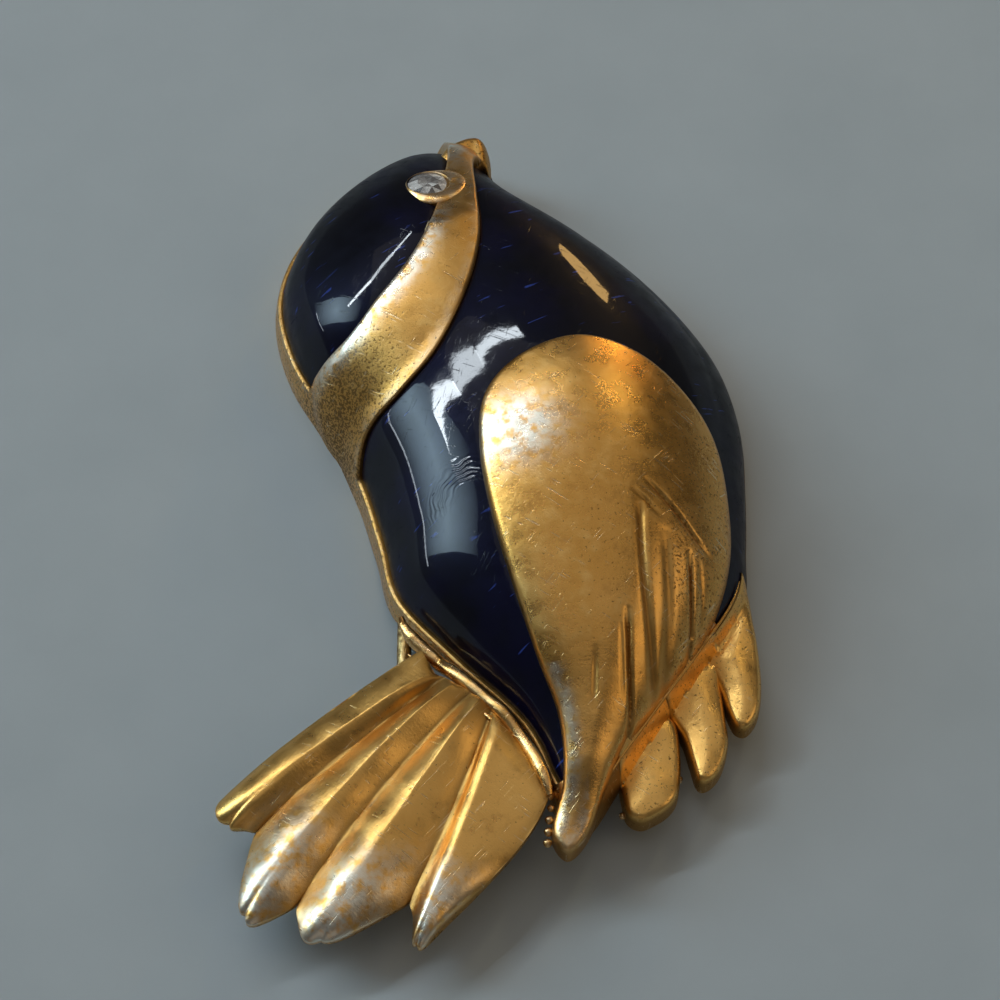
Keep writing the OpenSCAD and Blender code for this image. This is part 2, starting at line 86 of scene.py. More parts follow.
# Body enamel, tail end to breast: x and y on its outer edge, then the place along WING
FIELD = np.array([
    [0.114, -0.338, 2.05], [0.052, -0.268, 3.1], [-0.062, -0.200, 4.2], [-0.158, -0.138, 5.1],
    [-0.230, -0.050, 5.9], [-0.262, 0.019, 6.7], [-0.250, 0.064, 7.3], [-0.176, 0.093, 7.9],
    [-0.107, 0.135, 8.4], [-0.052, 0.208, 8.9], [-0.024, 0.288, 9.4], [-0.031, 0.365, 9.8],
    [-0.034, 0.440, 10.1], [0.040, 0.425, 10.4], [0.170, 0.375, 10.9], [0.310, 0.300, 11.5],
    [0.430, 0.212, 12.1], [0.490, 0.135, 12.8], [0.510, 0.038, 13.5], [0.510, -0.038, 14.2],
    [0.480, -0.112, 15.0], [0.424, -0.155, 15.7]])
# Folds of the tail, left to right: x and y at root, middle and tip
TAIL = np.array([
    [-0.148, -0.192, -0.317, -0.262, -0.476, -0.338], [-0.122, -0.219, -0.301, -0.290, -0.467, -0.369],
    [-0.107, -0.225, -0.276, -0.304, -0.414, -0.375], [-0.083, -0.233, -0.259, -0.337, -0.431, -0.467],
    [-0.052, -0.242, -0.197, -0.338, -0.334, -0.450], [-0.031, -0.252, -0.169, -0.373, -0.297, -0.494],
    [-0.007, -0.265, -0.072, -0.363, -0.141, -0.450], [0.014, -0.277, -0.050, -0.385, -0.130, -0.498],
    [0.104, -0.346, 0.050, -0.402, -0.070, -0.472]])
# Outlines of the three breast lobes
LOBES = [
    [(13.75, -4.6), (14.25, -7.2), (14.45, -9.4), (14.45, -11.2), (14.2, -12.7), (13.6, -13.6),
     (12.95, -13.5), (12.55, -12.6), (12.2, -11.4), (11.6, -10.2), (10.6, -9.0), (10.0, -7.4), (12.0, -5.4)],
    [(12.1, -9.6), (12.3, -11.2), (12.45, -13.1), (12.5, -14.6), (12.05, -16.05), (11.4, -16.8),
     (10.8, -16.75), (10.45, -15.5), (10.1, -14.2), (9.3, -12.8), (8.4, -11.4), (9.6, -9.6)],
    [(9.7, -13.2), (9.95, -15.3), (9.8, -17.3), (9.35, -18.2), (8.55, -18.8), (7.75, -19.1), (7.05, -18.7),
     (6.8, -17.6), (6.6, -16.5), (6.2, -15.2), (6.6, -13.6), (8.2, -12.4)]]
# How far the lobes reach in over the body's rim: above this y, and below it
LOBE_Y, LOBE_IN_ABOVE, LOBE_IN_BELOW = -8.7, 0.5, 1.6
# Feather lines on the wing: points along the line, then width and depth
GROOVES = [
    ([(8.25, -2.1), (9.6, -3.4), (10.8, -4.75), (11.6, -5.5)], 0.20, 0.20),
    ([(7.5, -2.75), (8.15, -3.3), (8.9, -4.0)], 0.17, 0.14),
    ([(7.85, -3.3), (7.95, -6.7), (8.3, -10.8), (8.5, -13.4)], 0.34, 0.20),
    ([(10.5, -5.7), (10.55, -8.2), (10.5, -10.0), (10.3, -11.4)], 0.16, 0.24),
    ([(11.05, -6.0), (11.15, -8.0), (11.0, -9.9)], 0.14, 0.10),
    ([(7.1, -9.4), (7.15, -12.0), (7.2, -14.5), (6.8, -16.4)], 0.20, 0.26),
    ([(6.75, -10.2), (6.8, -12.2), (6.85, -14.0)], 0.14, 0.08),
    ([(5.4, -11.5), (5.35, -13.0), (5.3, -14.5)], 0.20, 0.10),
    ([(9.2, -5.0), (9.3, -9.4), (9.0, -13.0)], 0.42, 0.14)]
# Raised line between body enamel and tail
RIDGE = [(-4.75, -7.0), (-4.2, -8.05), (-2.86, -9.5), (-1.49, -10.88), (-0.21, -12.15), (1.04, -13.47),
         (2.25, -15.4), (2.95, -17.0), (3.2, -18.0)]
# Small casting beads: x, y, z and radius
BEADS = [(3.02, -18.0, 3.5, 0.25), (3.08, -18.65, 3.35, 0.20), (3.0, -19.3, 3.3, 0.24),
         (2.95, -19.95, 3.25, 0.25), (2.9, -20.55, 3.2, 0.24), (9.86, -16.3, 1.9, 0.22),
         (6.85, -18.4, 1.9, 0.2)]
BEAK = [(-3.3, 23.2), (-2.9, 24.3), (-1.95, 25.1), (-1.1, 25.4), (-0.5, 25.1), (-0.2, 24.3), (-0.08, 23.3),
        (-0.2, 22.5), (-0.7, 22.75), (-1.1, 22.4), (-2.2, 21.9)]
# Middle of the eye, and how far it leans towards the head; the stone's width, and its seat's gap
EYE, LEAN = (-3.741, 19.552), math.radians(22)
STONE_D, SEAT_GAP = 2.35, 0.05
# The stone's girdle, the heights of its crown and pavilion, its table's share of the width
GIRDLE, CROWN_H, PAVILION, TABLE = -0.03, 0.45, 0.85, 0.55
# Outline of the bezel around the middle of the eye
BEZEL = [(-1.40, 0.0), (-1.12, 0.8), (-0.5, 1.36), (0.3, 1.62), (1.1, 1.58), (1.85, 1.15), (2.25, 0.3),
         (2.1, -0.7), (1.5, -1.55), (0.6, -2.05), (-0.2, -1.95), (-0.85, -1.45), (-1.28, -0.8)]
# Middle of the ripples in the body enamel, and the direction in which they spread
RIPPLE, RIPPLE_SIDE = (-1.15, -2.5, 7.6), (-0.5, 0.86)
# Point values that the gold's material reads
SURFACE = ("dirt", "wear", "dark", "crest")


# Shape functions, the same as the solids' own
def blend(a, b, m, n, s):
    """Cubic from a to b with the slopes m and n at its ends."""
    return ((2 * s**3 - 3 * s**2 + 1) * a + (s**3 - 2 * s**2 + s) * m
            + (3 * s**2 - 2 * s**3) * b + (s**3 - s**2) * n)


def mix(a, b, t):
    return a + (b - a) * t


def unit(x):
    """Values held between 0 and 1."""
    return np.clip(x, 0, 1)


def row_at(t, x):
    """Smooth row of a table whose first column rises."""
    i = np.clip(np.searchsorted(t[:, 0], x, side="right") - 1, 0, len(t) - 2)
    k = np.arange(len(t))
    lo, hi = np.maximum(k - 1, 0), np.minimum(k + 1, len(t) - 1)
    slope = (t[hi] - t[lo]) / (t[hi] - t[lo])[:, :1]
    h = (t[i + 1, 0] - t[i, 0])[..., None]
    s = unit((x[..., None] - t[i, :1]) / h)
    return blend(t[i], t[i + 1], h * slope[i], h * slope[i + 1], s)


def along(t, u, closed=False):
    """Smooth row of a list at index u."""
    u = np.asarray(u, float)
    n = len(t)
    i = np.floor(u).astype(int)
    if not closed:
        i = np.clip(i, 0, n - 2)
    at = (lambda k: t[k % n]) if closed else (lambda k: t[np.clip(k, 0, n - 1)])
    a, b = at(i), at(i + 1)
    return blend(a, b, (b - at(i - 1)) / 2, (at(i + 2) - a) / 2, (u - i)[..., None])


def section(y, inset=0.0, is_open=False):
    """Spine, left and right half widths, crest and base of the body at y."""
    y = np.asarray(y, float)
    r = row_at(BODY, y / LENGTH)
    head = unit((y - HEAD_FROM * LENGTH) / ((HEAD_END - HEAD_FROM) * LENGTH - inset))
    foot = unit((FOOT_FROM * LENGTH - y) / ((FOOT_FROM - FOOT_END) * LENGTH - inset))
    s = np.zeros_like(y) if is_open else np.maximum(head, foot)
    narrow = np.sqrt(np.maximum(1 - s**2, 0))
    low = np.sqrt(np.maximum(1 - s**END_P, 0))
    base = np.maximum(r[..., 5], 0) * LIFT
    left = np.maximum((r[..., 2] * WIDTH - inset) * narrow, POINT)
    right = np.maximum((r[..., 3] * WIDTH - inset) * narrow, POINT)
    crest = base + np.maximum((r[..., 4] * CREST_H - base - inset) * low, POINT)
    return r[..., 1] * WIDTH, left, right, crest, base


def arch(t):
    """Cross-section of the body: 1 at its spine and 0 at its rim."""
    return np.maximum(1 - np.minimum(np.abs(t), 1) ** SIDE_P, 0) ** (1 / SIDE_Q)


def body_z(x, y, inset=0.0, is_open=False):
    """Height of the body's surface."""
    spine, left, right, crest, base = section(y, inset, is_open)
    t = (x - spine) / np.where(x < spine, left, right)
    return base + (crest - base) * arch(t)


def edge_x(y, side, inset):
    """Place across of the body's rim, moved in by the inset."""
    spine, left, right, _, _ = section(y, inset)
    return spine - left if side < 0 else spine + right


# The body's surface rolled out flat, so that its mesh is even from crest to rim
HEAD_Y, HEAD_SPAN = HEAD_FROM * LENGTH, (HEAD_END - HEAD_FROM) * LENGTH
FOOT_Y, FOOT_SPAN = FOOT_FROM * LENGTH, (FOOT_FROM - FOOT_END) * LENGTH


def rolled(x, y):
    """Places in plan, put on the rolled-out surface."""
    spine, left, right, _, _ = section(y)
    half = np.where(x < spine, left, right)
    b = half * (np.arccos(-np.clip((x - spine) / half, -1, 1)) - math.pi / 2)
    a = np.where(y > HEAD_Y, HEAD_Y + HEAD_SPAN * np.arcsin(unit((y - HEAD_Y) / HEAD_SPAN)), y)
    a = np.where(y < FOOT_Y, FOOT_Y - FOOT_SPAN * np.arcsin(unit((FOOT_Y - y) / FOOT_SPAN)), a)
    return np.stack([b, a], -1)


def unrolled(flat):
    """Places on the rolled-out surface, put back in space."""
    b, a = flat[..., 0], flat[..., 1]
    quarter = math.pi / 2
    y = np.where(a > HEAD_Y, HEAD_Y + HEAD_SPAN * np.sin(np.clip((a - HEAD_Y) / HEAD_SPAN, 0, quarter)), a)
    y = np.where(a < FOOT_Y, FOOT_Y - FOOT_SPAN * np.sin(np.clip((FOOT_Y - a) / FOOT_SPAN, 0, quarter)), y)
    spine, left, right, crest, base = section(y)
    half = np.where(b < 0, left, right)
    t = -np.cos(np.clip(b / half + quarter, 0, math.pi))
    return np.stack([spine + t * half, y, base + (crest - base) * arch(t)], -1)


def dome_normals(flat, step=0.03):
    """Unit normals of the body at places on the rolled-out surface."""
    db, da = np.array([step, 0.0]), np.array([0.0, step])
    n = np.cross(unrolled(flat + db) - unrolled(flat - db), unrolled(flat + da) - unrolled(flat - da))
    size = np.linalg.norm(n, axis=-1, keepdims=True)
    return np.where(size > 1e-9, n / np.maximum(size, 1e-9), [0.0, 0.0, 1.0])


# Meshes whose edges follow an outline
def spaced(loop, pitch, closed=True):
    """Points at an even pitch along a line."""
    loop = np.asarray(loop, float)
    ring = np.vstack([loop, loop[:1]]) if closed else loop
    run = np.concatenate([[0], np.cumsum(np.linalg.norm(np.diff(ring, axis=0), axis=1))])
    n = max(int(round(run[-1] / pitch)), 3)
    at = np.linspace(0, run[-1], n + 1)
    out = np.stack([np.interp(at, run, ring[:, k]) for k in range(ring.shape[1])], -1)
    return out[:-1] if closed else out


def smooth_loop(points, pitch):
    """Smooth closed line through a few points."""
    t = np.asarray(points, float)
    return spaced(along(t, np.arange(0, len(t), 0.05), True), pitch)


def smooth_line(points, pitch):
    """Smooth open line through a few points."""
    t = np.asarray(points, float)
    return spaced(along(t, np.linspace(0, len(t) - 1, 40 * len(t))), pitch, False)


def inside(points, loop):
    """Whether each point lies inside a closed line."""
    x, y = points[:, :1], points[:, 1:2]
    a, b = loop, np.roll(loop, -1, 0)
    spans = (a[:, 1] > y) != (b[:, 1] > y)
    climb = np.where(b[:, 1] == a[:, 1], 1e-9, b[:, 1] - a[:, 1])
    cut = a[:, 0] + (y - a[:, 1]) / climb * (b[:, 0] - a[:, 0])
    return (spans & (x < cut)).sum(1) % 2 == 1


def far(points, line, closed=True):
    """Distance from each point to a line."""
    a = line if closed else line[:-1]
    d = (np.roll(line, -1, 0) if closed else line[1:]) - a
    size = np.maximum((d**2).sum(1), 1e-12)
    out = np.empty(len(points))
    at_once = 3000
    for i in range(0, len(points), at_once):
        p = points[i : i + at_once, None, :] - a
        t = unit((p * d).sum(2) / size)[..., None]
        out[i : i + at_once] = np.sqrt(((p - t * d) ** 2).sum(2).min(1))
    return out


def triangles(loops, pitch, rings=(0.05, 0.12, 0.2, 0.3), clear=0.8):
    """Even triangles inside loops[0], with edges along every loop and fine rows beside each.
    Returns the points, the triangles and each loop's own point numbers."""
    row_step = 0.866
    points, edges = [], []
    for loop in loops:
        start = sum(len(p) for p in points)
        n = len(loop)
        points.append(loop)
        edges += [(start + i, start + (i + 1) % n) for i in range(n)]
    # fine rows beside each loop, without the points that come too near another
    extra = []
    for loop in loops:
        d = np.roll(loop, -1, 0) - np.roll(loop, 1, 0)
        nrm = np.stack([-d[:, 1], d[:, 0]], -1) / np.maximum(np.linalg.norm(d, axis=1), 1e-9)[:, None]
        for r in rings:
            for side in (-1, 1):
                p = loop + side * r * nrm
                extra.append(p[np.min([far(p, other) for other in loops], 0) > 0.93 * r])
    # even rows over the rest
    lo, hi = loops[0].min(0), loops[0].max(0)
    xs, ys = np.arange(lo[0], hi[0], pitch), np.arange(lo[1], hi[1], pitch * row_step)
    gx, gy = np.meshgrid(xs, ys)
    gx = gx + (np.arange(len(ys)) % 2)[:, None] * pitch / 2
    grid = np.stack([gx.ravel(), gy.ravel()], -1)
    grid = grid[inside(grid, loops[0])]
    grid = grid[np.min([far(grid, loop) for loop in loops], 0) > rings[-1] + clear * pitch]
    extra = np.vstack(extra)
    extra = extra[inside(extra, loops[0])]
    cloud = np.vstack(points + [extra, grid])
    co, _, faces, _, _, _ = delaunay_2d_cdt([Vector(p) for p in cloud], edges, [], 0, 1e-7, True)
    co = np.array([tuple(v) for v in co])
    tri = np.array([f for f in faces if len(f) == 3])
    mid = co[tri].mean(1)
    tri = tri[inside(mid, loops[0])]
    p = co[tri]
    turn = np.cross(p[:, 1] - p[:, 0], p[:, 2] - p[:, 0])
    tri[turn < 0] = tri[turn < 0][:, ::-1]
    own = [np.array([int(((co - q) ** 2).sum(1).argmin()) for q in loop]) for loop in loops]
    return co, tri, own


def add_mesh(name, verts, faces, material, values=None, sharp=50.0):
    me = bpy.data.meshes.new(name)
    me.from_pydata((np.asarray(verts) * MM).tolist(), [], [tuple(int(k) for k in f) for f in faces])
    for key, data in (values or {}).items():
        layer = me.attributes.new(key, "FLOAT", "POINT")
        layer.data.foreach_set("value", np.asarray(data, np.float32))
    me.validate()
    me.shade_smooth()
    me.set_sharp_from_angle(angle=math.radians(sharp))
    me.materials.append(material)
    ob = bpy.data.objects.new(name, me)
    scene.collection.objects.link(ob)
    return ob


class Build:
    """Gathers points, faces and point values of one piece."""

    def __init__(self, *keys):
        self.v, self.f, self.keys, self.vals, self.n = [], [], keys, {k: [] for k in keys}, 0

    def add(self, verts, faces, **vals):
        verts = np.asarray(verts, float)
        self.v.append(verts)
        self.f += [tuple(int(k) + self.n for k in f) for f in faces]
        for k in self.keys:
            self.vals[k].append(np.broadcast_to(vals.get(k, 0.0), (len(verts),)))
        self.n += len(verts)

    def make(self, name, material):
        vals = {k: np.concatenate(v) for k, v in self.vals.items()}
        return add_mesh(name, np.vstack(self.v), self.f, material, vals)


def strip(a, b):
    """Quads between two closed rows of point numbers."""
    n = len(a)
    return [(a[i], a[(i + 1) % n], b[(i + 1) % n], b[i]) for i in range(n)]


def grid_quads(ids, turned=False):
    """Quads over a grid of point numbers, turned over where that is asked for."""
    a, b, c, d = ids[:-1, :-1], ids[1:, :-1], ids[1:, 1:], ids[:-1, 1:]
    corners = (a, d, c, b) if turned else (a, b, c, d)
    return [tuple(q) for q in np.stack(corners, -1).reshape(-1, 4)]


def plate(build, loop, top, bottom, pitch, rings=(0.04, 0.1, 0.18, 0.28, 0.4), **vals):
    """Closed solid over an outline; top and bottom give heights from places and their distance to it."""
    if np.cross(np.roll(loop, -1, 0) - loop[0], loop - loop[0]).sum() > 0:
        loop = loop[::-1]
    co, tri, own = triangles([loop], pitch, rings)
    d = far(co, loop)
    up = np.column_stack([co, top(co[:, 0], co[:, 1], d)])
    down = np.column_stack([co, bottom(co[:, 0], co[:, 1], d)])
    got = {k: (v(co[:, 0], co[:, 1], d) if callable(v) else v) for k, v in vals.items()}
    n = len(co)
    both = {k: np.concatenate([np.broadcast_to(v, (n,))] * 2) for k, v in got.items()}
    faces = [*map(tuple, tri), *[tuple(t[::-1] + n) for t in tri], *strip(own[0] + n, own[0])]
    build.add(np.vstack([up, down]), faces, **both)


def bulge(d, r):
    """Quarter-round rise from an edge over the distance r."""
    return np.sqrt(np.maximum(1 - (1 - unit(d / r)) ** 2, 0))


def rise(d, r):
    """Flatter rise from an edge over the distance r."""
    return 1 - (1 - unit(d / r)) ** 2


def ease(s):
    """Smooth step from 0 to 1."""
    return s * s * (3 - 2 * s)


def halo(d, r):
    """1 on a line, fading out over about the distance r."""
    return np.exp(-(d / r) ** 2)


def spot(x, y, at, size):
    """1 at a place, fading out over about the size."""
    return np.exp(-(((x - at[0]) / size[0]) ** 2) - ((y - at[1]) / size[1]) ** 2)


def tube(build, path, radius, sides, **vals):
    """Round rod along a line of points, with flat ends."""
    path = np.asarray(path, float)
    n = len(path)
    radius = np.broadcast_to(radius, (n,))
    ring_v = []
    for i in range(n):
        t = path[min(i + 1, n - 1)] - path[max(i - 1, 0)]
        t = t / np.linalg.norm(t)
        side = np.cross(t, [0, 0, 1.0])
        side = side / max(np.linalg.norm(side), 1e-9)
        up = np.cross(side, t)
        a = np.linspace(0, 2 * math.pi, sides, endpoint=False)[:, None]
        ring_v.append(path[i] + radius[i] * (np.cos(a) * side + np.sin(a) * up))
    faces = []
    for i in range(n - 1):
        faces += strip(np.arange(sides) + (i + 1) * sides, np.arange(sides) + i * sides)
    faces += [tuple(range(sides)), tuple(range(n * sides - 1, (n - 1) * sides - 1, -1))]
    build.add(np.vstack(ring_v), faces, **vals)


# Materials
class Tree:
    """Short way to write a material's nodes. Its coordinates are millimetres."""

    def __init__(self, name):
        self.mat = bpy.data.materials.new(name)
        self.mat.use_nodes = True
        self.t = self.mat.node_tree
        self.t.nodes.clear()
        self.bsdf = self.node("ShaderNodeBsdfPrincipled")
        self.link(self.bsdf.outputs[0], self.node("ShaderNodeOutputMaterial").inputs[0])
        scale = self.node("ShaderNodeVectorMath", operation="SCALE")
        scale.inputs["Scale"].default_value = 1 / MM
        self.link(self.node("ShaderNodeTexCoord").outputs["Object"], scale.inputs[0])
        self.p = scale.outputs[0]

    def node(self, kind, **props):
        n = self.t.nodes.new(kind)
        for k, v in props.items():
            setattr(n, k, v)
        return n

    def link(self, a, b):
        self.t.links.new(a, b)

    def put(self, socket, value):
        if isinstance(value, bpy.types.NodeSocket):
            self.link(value, socket)
        else:
            socket.default_value = value

    def math(self, op, a, b=0.0, clamp=False):
        n = self.node("ShaderNodeMath", operation=op, use_clamp=clamp)
        self.put(n.inputs[0], a)
        self.put(n.inputs[1], b)
        return n.outputs[0]

    def times(self, a, b, clamp=False):
        return self.math("MULTIPLY", a, b, clamp)

    def ramp(self, value, lo, hi, out_lo=0.0, out_hi=1.0):
        n = self.node("ShaderNodeMapRange", interpolation_type="SMOOTHSTEP")
        keys = ("Value", "From Min", "From Max", "To Min", "To Max")
        for k, v in zip(keys, (value, lo, hi, out_lo, out_hi)):
            self.put(n.inputs[k], v)
        return n.outputs[0]

    def noise(self, scale, detail=3.0, rough=0.55, where=None, distort=0.0):
        n = self.node("ShaderNodeTexNoise")
        self.link(where or self.p, n.inputs["Vector"])
        for k, v in (("Scale", scale), ("Detail", detail), ("Roughness", rough), ("Distortion", distort)):
            n.inputs[k].default_value = v
        return n.outputs["Fac"]

    def turned(self, scale, angle):
        """Coordinates turned about Z, then stretched."""
        turn, stretch = self.node("ShaderNodeMapping"), self.node("ShaderNodeMapping")
        self.link(self.p, turn.inputs["Vector"])
        self.link(turn.outputs[0], stretch.inputs["Vector"])
        turn.inputs["Rotation"].default_value = (0, 0, math.radians(angle))
        stretch.inputs["Scale"].default_value = scale
        return stretch.outputs[0]

    def value(self, key):
        return self.node("ShaderNodeAttribute", attribute_name=key).outputs["Fac"]

    def colour(self, fac, a, b):
        n = self.node("ShaderNodeMix", data_type="RGBA")
        self.put(n.inputs["Factor"], fac)
        for socket, c in ((n.inputs[6], a), (n.inputs[7], b)):
            self.put(socket, (*c, 1.0) if isinstance(c, tuple) else c)
        return n.outputs[2]

    def surface(self, inputs):
        """Sets the surface's inputs, each by a value or an output, and gives the material."""
        for key, value in inputs.items():
            self.put(self.bsdf.inputs[key], value)
        return self.mat

    def bump(self, height, distance, normal=None):
        n = self.node("ShaderNodeBump")
        n.inputs["Strength"].default_value = 1.0
        n.inputs["Distance"].default_value = distance * MM
        self.link(height, n.inputs["Height"])
        if normal:
            self.link(normal, n.inputs["Normal"])
        return n.outputs[0]

    def scratches(self, angle, scale, density):
        """Fine straight lines that break up along their run."""
        line = self.noise(1.0, 2.0, 0.4, self.turned((0.35 * scale, 9.0 * scale, 1.2 * scale), angle))
        gate = self.ramp(self.noise(0.8 * scale, 2.0), 0.48, 0.62)
        return self.times(self.ramp(line, density, density + 0.05), gate)


def gold_material(name, rougher=0.0, painted_lit=0.0, across=None):
    """Aged gold. The third argument mixes in a lighter orange as painted light, so that a part looks more
    brightly lit. Across is the stretch and the angle of buffing marks over the feathers' crests.
    """
    t = Tree(name)
    big, mid = t.noise(0.16, 2.0), t.noise(0.9, 5.0, 0.62)
    grain, fine = t.noise(6.5, 3.0, 0.6), t.noise(16.0, 2.0)
    dirt, wear, dark = t.value("dirt"), t.value("wear"), t.value("dark")
    base = t.colour(t.ramp(big, 0.35, 0.65), (0.74, 0.39, 0.095), (0.83, 0.46, 0.13))
    base = t.colour(t.ramp(mid, 0.5, 0.8, 0.0, 0.6), base, (0.92, 0.60, 0.22))
    # painted light: a lighter orange that makes a part look more brightly lit
    base = t.colour(painted_lit, base, (1.0, 0.60, 0.18))
    brown = t.times(t.ramp(mid, 0.45, 0.28), 0.35)
    base = t.colour(brown, base, (0.36, 0.175, 0.045))
    # granular tarnish, most where the piece is dark
    level = t.math("ADD", t.times(dark, 0.16), 0.30)
    granular = t.ramp(grain, t.math("ADD", level, 0.06), t.math("SUBTRACT", level, 0.05))
    base = t.colour(t.times(granular, 0.8), base, (0.12, 0.062, 0.022))
    # paler, silvery gold: real wear on rubbed edges, and painted highlight where reflections fall on the
    # wing's shoulder and tip, the band's edge and the tail's tips
    silver = t.times(wear, t.ramp(t.noise(1.7, 4.0), 0.3, 0.6))
    base = t.colour(silver, base, (0.86, 0.80, 0.68))
    # dirt and painted shade: darkens the gold towards dark brown in creases, grooves, recesses and along
    # edges
    base = t.colour(t.times(dirt, 0.85, True), base, (0.085, 0.042, 0.014))
    lines = t.math("MAXIMUM", t.scratches(35, 1.0, 0.64), t.scratches(-50, 1.3, 0.65))
    base = t.colour(t.times(lines, 0.4), base, (1.0, 0.84, 0.56))
    rough = t.ramp(mid, 0.3, 0.7, 0.24, 0.33)
    rough = t.math("ADD", rough, t.math("ADD", t.times(granular, 0.2), rougher))
    rough = t.math("ADD", rough, t.times(dirt, 0.25))
    rough = t.math("SUBTRACT", rough, t.times(lines, 0.08), True)
    n = t.bump(t.noise(0.45, 2.0), 0.035)
    n = t.bump(mid, 0.012, n)
    n = t.bump(grain, 0.010, n)
    n = t.bump(fine, 0.006, n)
    n = t.bump(lines, -0.006, n)
    if across:
        wave = t.noise(1.0, 2.0, 0.5, t.turned(*across))
        n = t.bump(t.times(wave, t.value("crest")), 0.018, n)
    return t.surface({"Base Color": base, "Metallic": 1.0, "Roughness": rough, "Normal": n})


def ripples(t):
    """Height of fine rings around RIPPLE, on one side of it only."""
    away = t.node("ShaderNodeVectorMath", operation="DISTANCE")
    t.link(t.p, away.inputs[0])
    away.inputs[1].default_value = RIPPLE
    away = away.outputs["Value"]
    side = t.node("ShaderNodeVectorMath", operation="DOT_PRODUCT")
    t.link(t.p, side.inputs[0])
    side.inputs[1].default_value = (*RIPPLE_SIDE, 0.0)
    middle = RIPPLE_SIDE[0] * RIPPLE[0] + RIPPLE_SIDE[1] * RIPPLE[1]
    level = t.math("SUBTRACT", side.outputs["Value"], middle)
    wave = t.math("SINE", t.times(t.math("ADD", away, t.noise(0.8, 1.0)), 22.0))
    gate = t.times(t.ramp(away, 0.9, 1.3), t.ramp(away, 2.9, 2.2))
    gate = t.times(gate, t.ramp(level, 0.0, 0.9))
    return t.times(wave, gate)


def enamel_material(name):
    """Dark blue enamel: a glossy coat that thins out where it is seen at a low angle."""
    t = Tree(name)
    cloud = t.noise(0.22, 3.0)
    base = t.colour(t.ramp(cloud, 0.4, 0.68), (0.0018, 0.0021, 0.0040), (0.0022, 0.0022, 0.014))
    # painted glints: a few light-blue hairlines painted into the enamel's colour
    hair_glint = t.ramp(t.noise(1.0, 2.0, 0.4, t.turned((0.5, 5.0, 0.8), 148), 0.6), 0.68, 0.72)
    hair_glint = t.times(hair_glint, t.ramp(t.noise(0.45, 1.0), 0.5, 0.6))
    base = t.colour(t.times(hair_glint, 0.8), base, (0.03, 0.06, 0.30))
    facing = t.node("ShaderNodeLayerWeight").outputs["Facing"]
    lines = t.math("MAXIMUM", t.scratches(-62, 1.2, 0.66), t.scratches(100, 1.5, 0.67))
    lines = t.math("MAXIMUM", t.scratches(25, 1.0, 0.66), lines)
    rough = t.ramp(t.noise(1.1, 4.0), 0.3, 0.7, 0.30, 0.42)
    rough = t.math("ADD", rough, t.times(lines, 0.2), True)
    n = t.bump(t.noise(0.35, 2.0), 0.006)
    n = t.bump(t.noise(2.6, 3.0), 0.0006, n)
    n = t.bump(lines, -0.0015, n)
    n = t.bump(ripples(t), 0.004, n)
    return t.surface({
        "Base Color": base, "Metallic": 0.0, "Roughness": rough, "IOR": 1.45, "Normal": n,
        "Specular IOR Level": 0.12, "Specular Tint": (0.4, 0.45, 1.0, 1.0), "Coat Normal": n,
        "Coat Weight": t.ramp(facing, 0.2, 0.7, 1.0, 0.04), "Coat Roughness": 0.03, "Coat IOR": 1.34})


def glass_material(name):
    t = Tree(name)
    cloud = t.ramp(t.noise(2.5, 3.0), 0.3, 0.7)
    base = t.colour(cloud, (0.80, 0.80, 0.82), (0.97, 0.96, 0.95))
    return t.surface({"Base Color": base, "Roughness": 0.03, "IOR": 1.9, "Alpha": 0.15,
                      "Coat Weight": 1.0, "Coat Roughness": 0.02})


def foil_material(name):
    """Silver foil whose facets each have their own painted glint: a tone from dark to white that stands in
    for the light each facet catches.
    """
    t = Tree(name)
    tone = t.math("ADD", t.value("tone"), t.ramp(t.noise(2.0, 2.0), 0.3, 0.7, -0.15, 0.15), True)
    base = t.colour(tone, (0.07, 0.045, 0.035), (1.0, 0.97, 0.94))
    rough = t.ramp(t.noise(6.0, 3.0), 0.3, 0.7, 0.16, 0.3)
    return t.surface({"Base Color": base, "Metallic": 0.35, "Roughness": rough})


def pin_material(name):
    """Dull, mottled yellow metal."""
    t = Tree(name)
    mottle = t.noise(2.2, 5.0, 0.65)
    base = t.colour(t.ramp(mottle, 0.35, 0.62), (0.14, 0.075, 0.025), (0.62, 0.43, 0.18))
    base = t.colour(t.ramp(t.noise(5.0, 2.0), 0.62, 0.7), base, (0.85, 0.70, 0.40))
    return t.surface({"Base Color": base, "Metallic": 1.0, "Roughness": t.ramp(mottle, 0.3, 0.7, 0.5, 0.28),
                      "Normal": t.bump(t.noise(7.0, 3.0), 0.02, t.bump(mottle, 0.06))})


def floor_material(name):
    t = Tree(name)
    base = t.colour(t.noise(0.12, 4.0), (0.42, 0.465, 0.49), (0.50, 0.545, 0.57))
    return t.surface({"Base Color": base, "Roughness": 0.85})


GOLD = gold_material("aged_gold")
# lighter copies of the gold for the tail and the lobes: painted light, so that they look more brightly lit
GOLD_TAIL_PAINTED_LIT = gold_material("aged_gold_tail_painted_lit", 0.03, 0.5, ((0.5, 7.0, 2.0), 40))
GOLD_LOBE_PAINTED_LIT = gold_material("aged_gold_lobe_painted_lit", 0.04, 0.8)
ENAMEL = enamel_material("dark_blue_enamel")


# Body: gold shell with two cells, and the enamel in them
def field_loop(rows, edge_fn, fine=12):
    """Outline of an enamel field between its outer and its inner edge."""
    u = np.linspace(0, rows, rows * fine + 1)
    outer, inner = edge_fn(u)
    return np.vstack([outer, inner[::-1]])


def crown_edges(u):
    r = along(CROWN, u)
    y = r[:, 0] * LENGTH
    return np.stack([edge_x(y, -1, 0.3), y], -1), r[:, 1:] * [WIDTH, LENGTH]


def wing_line(u):
    return along(WING, u, True) * [WIDTH, LENGTH]


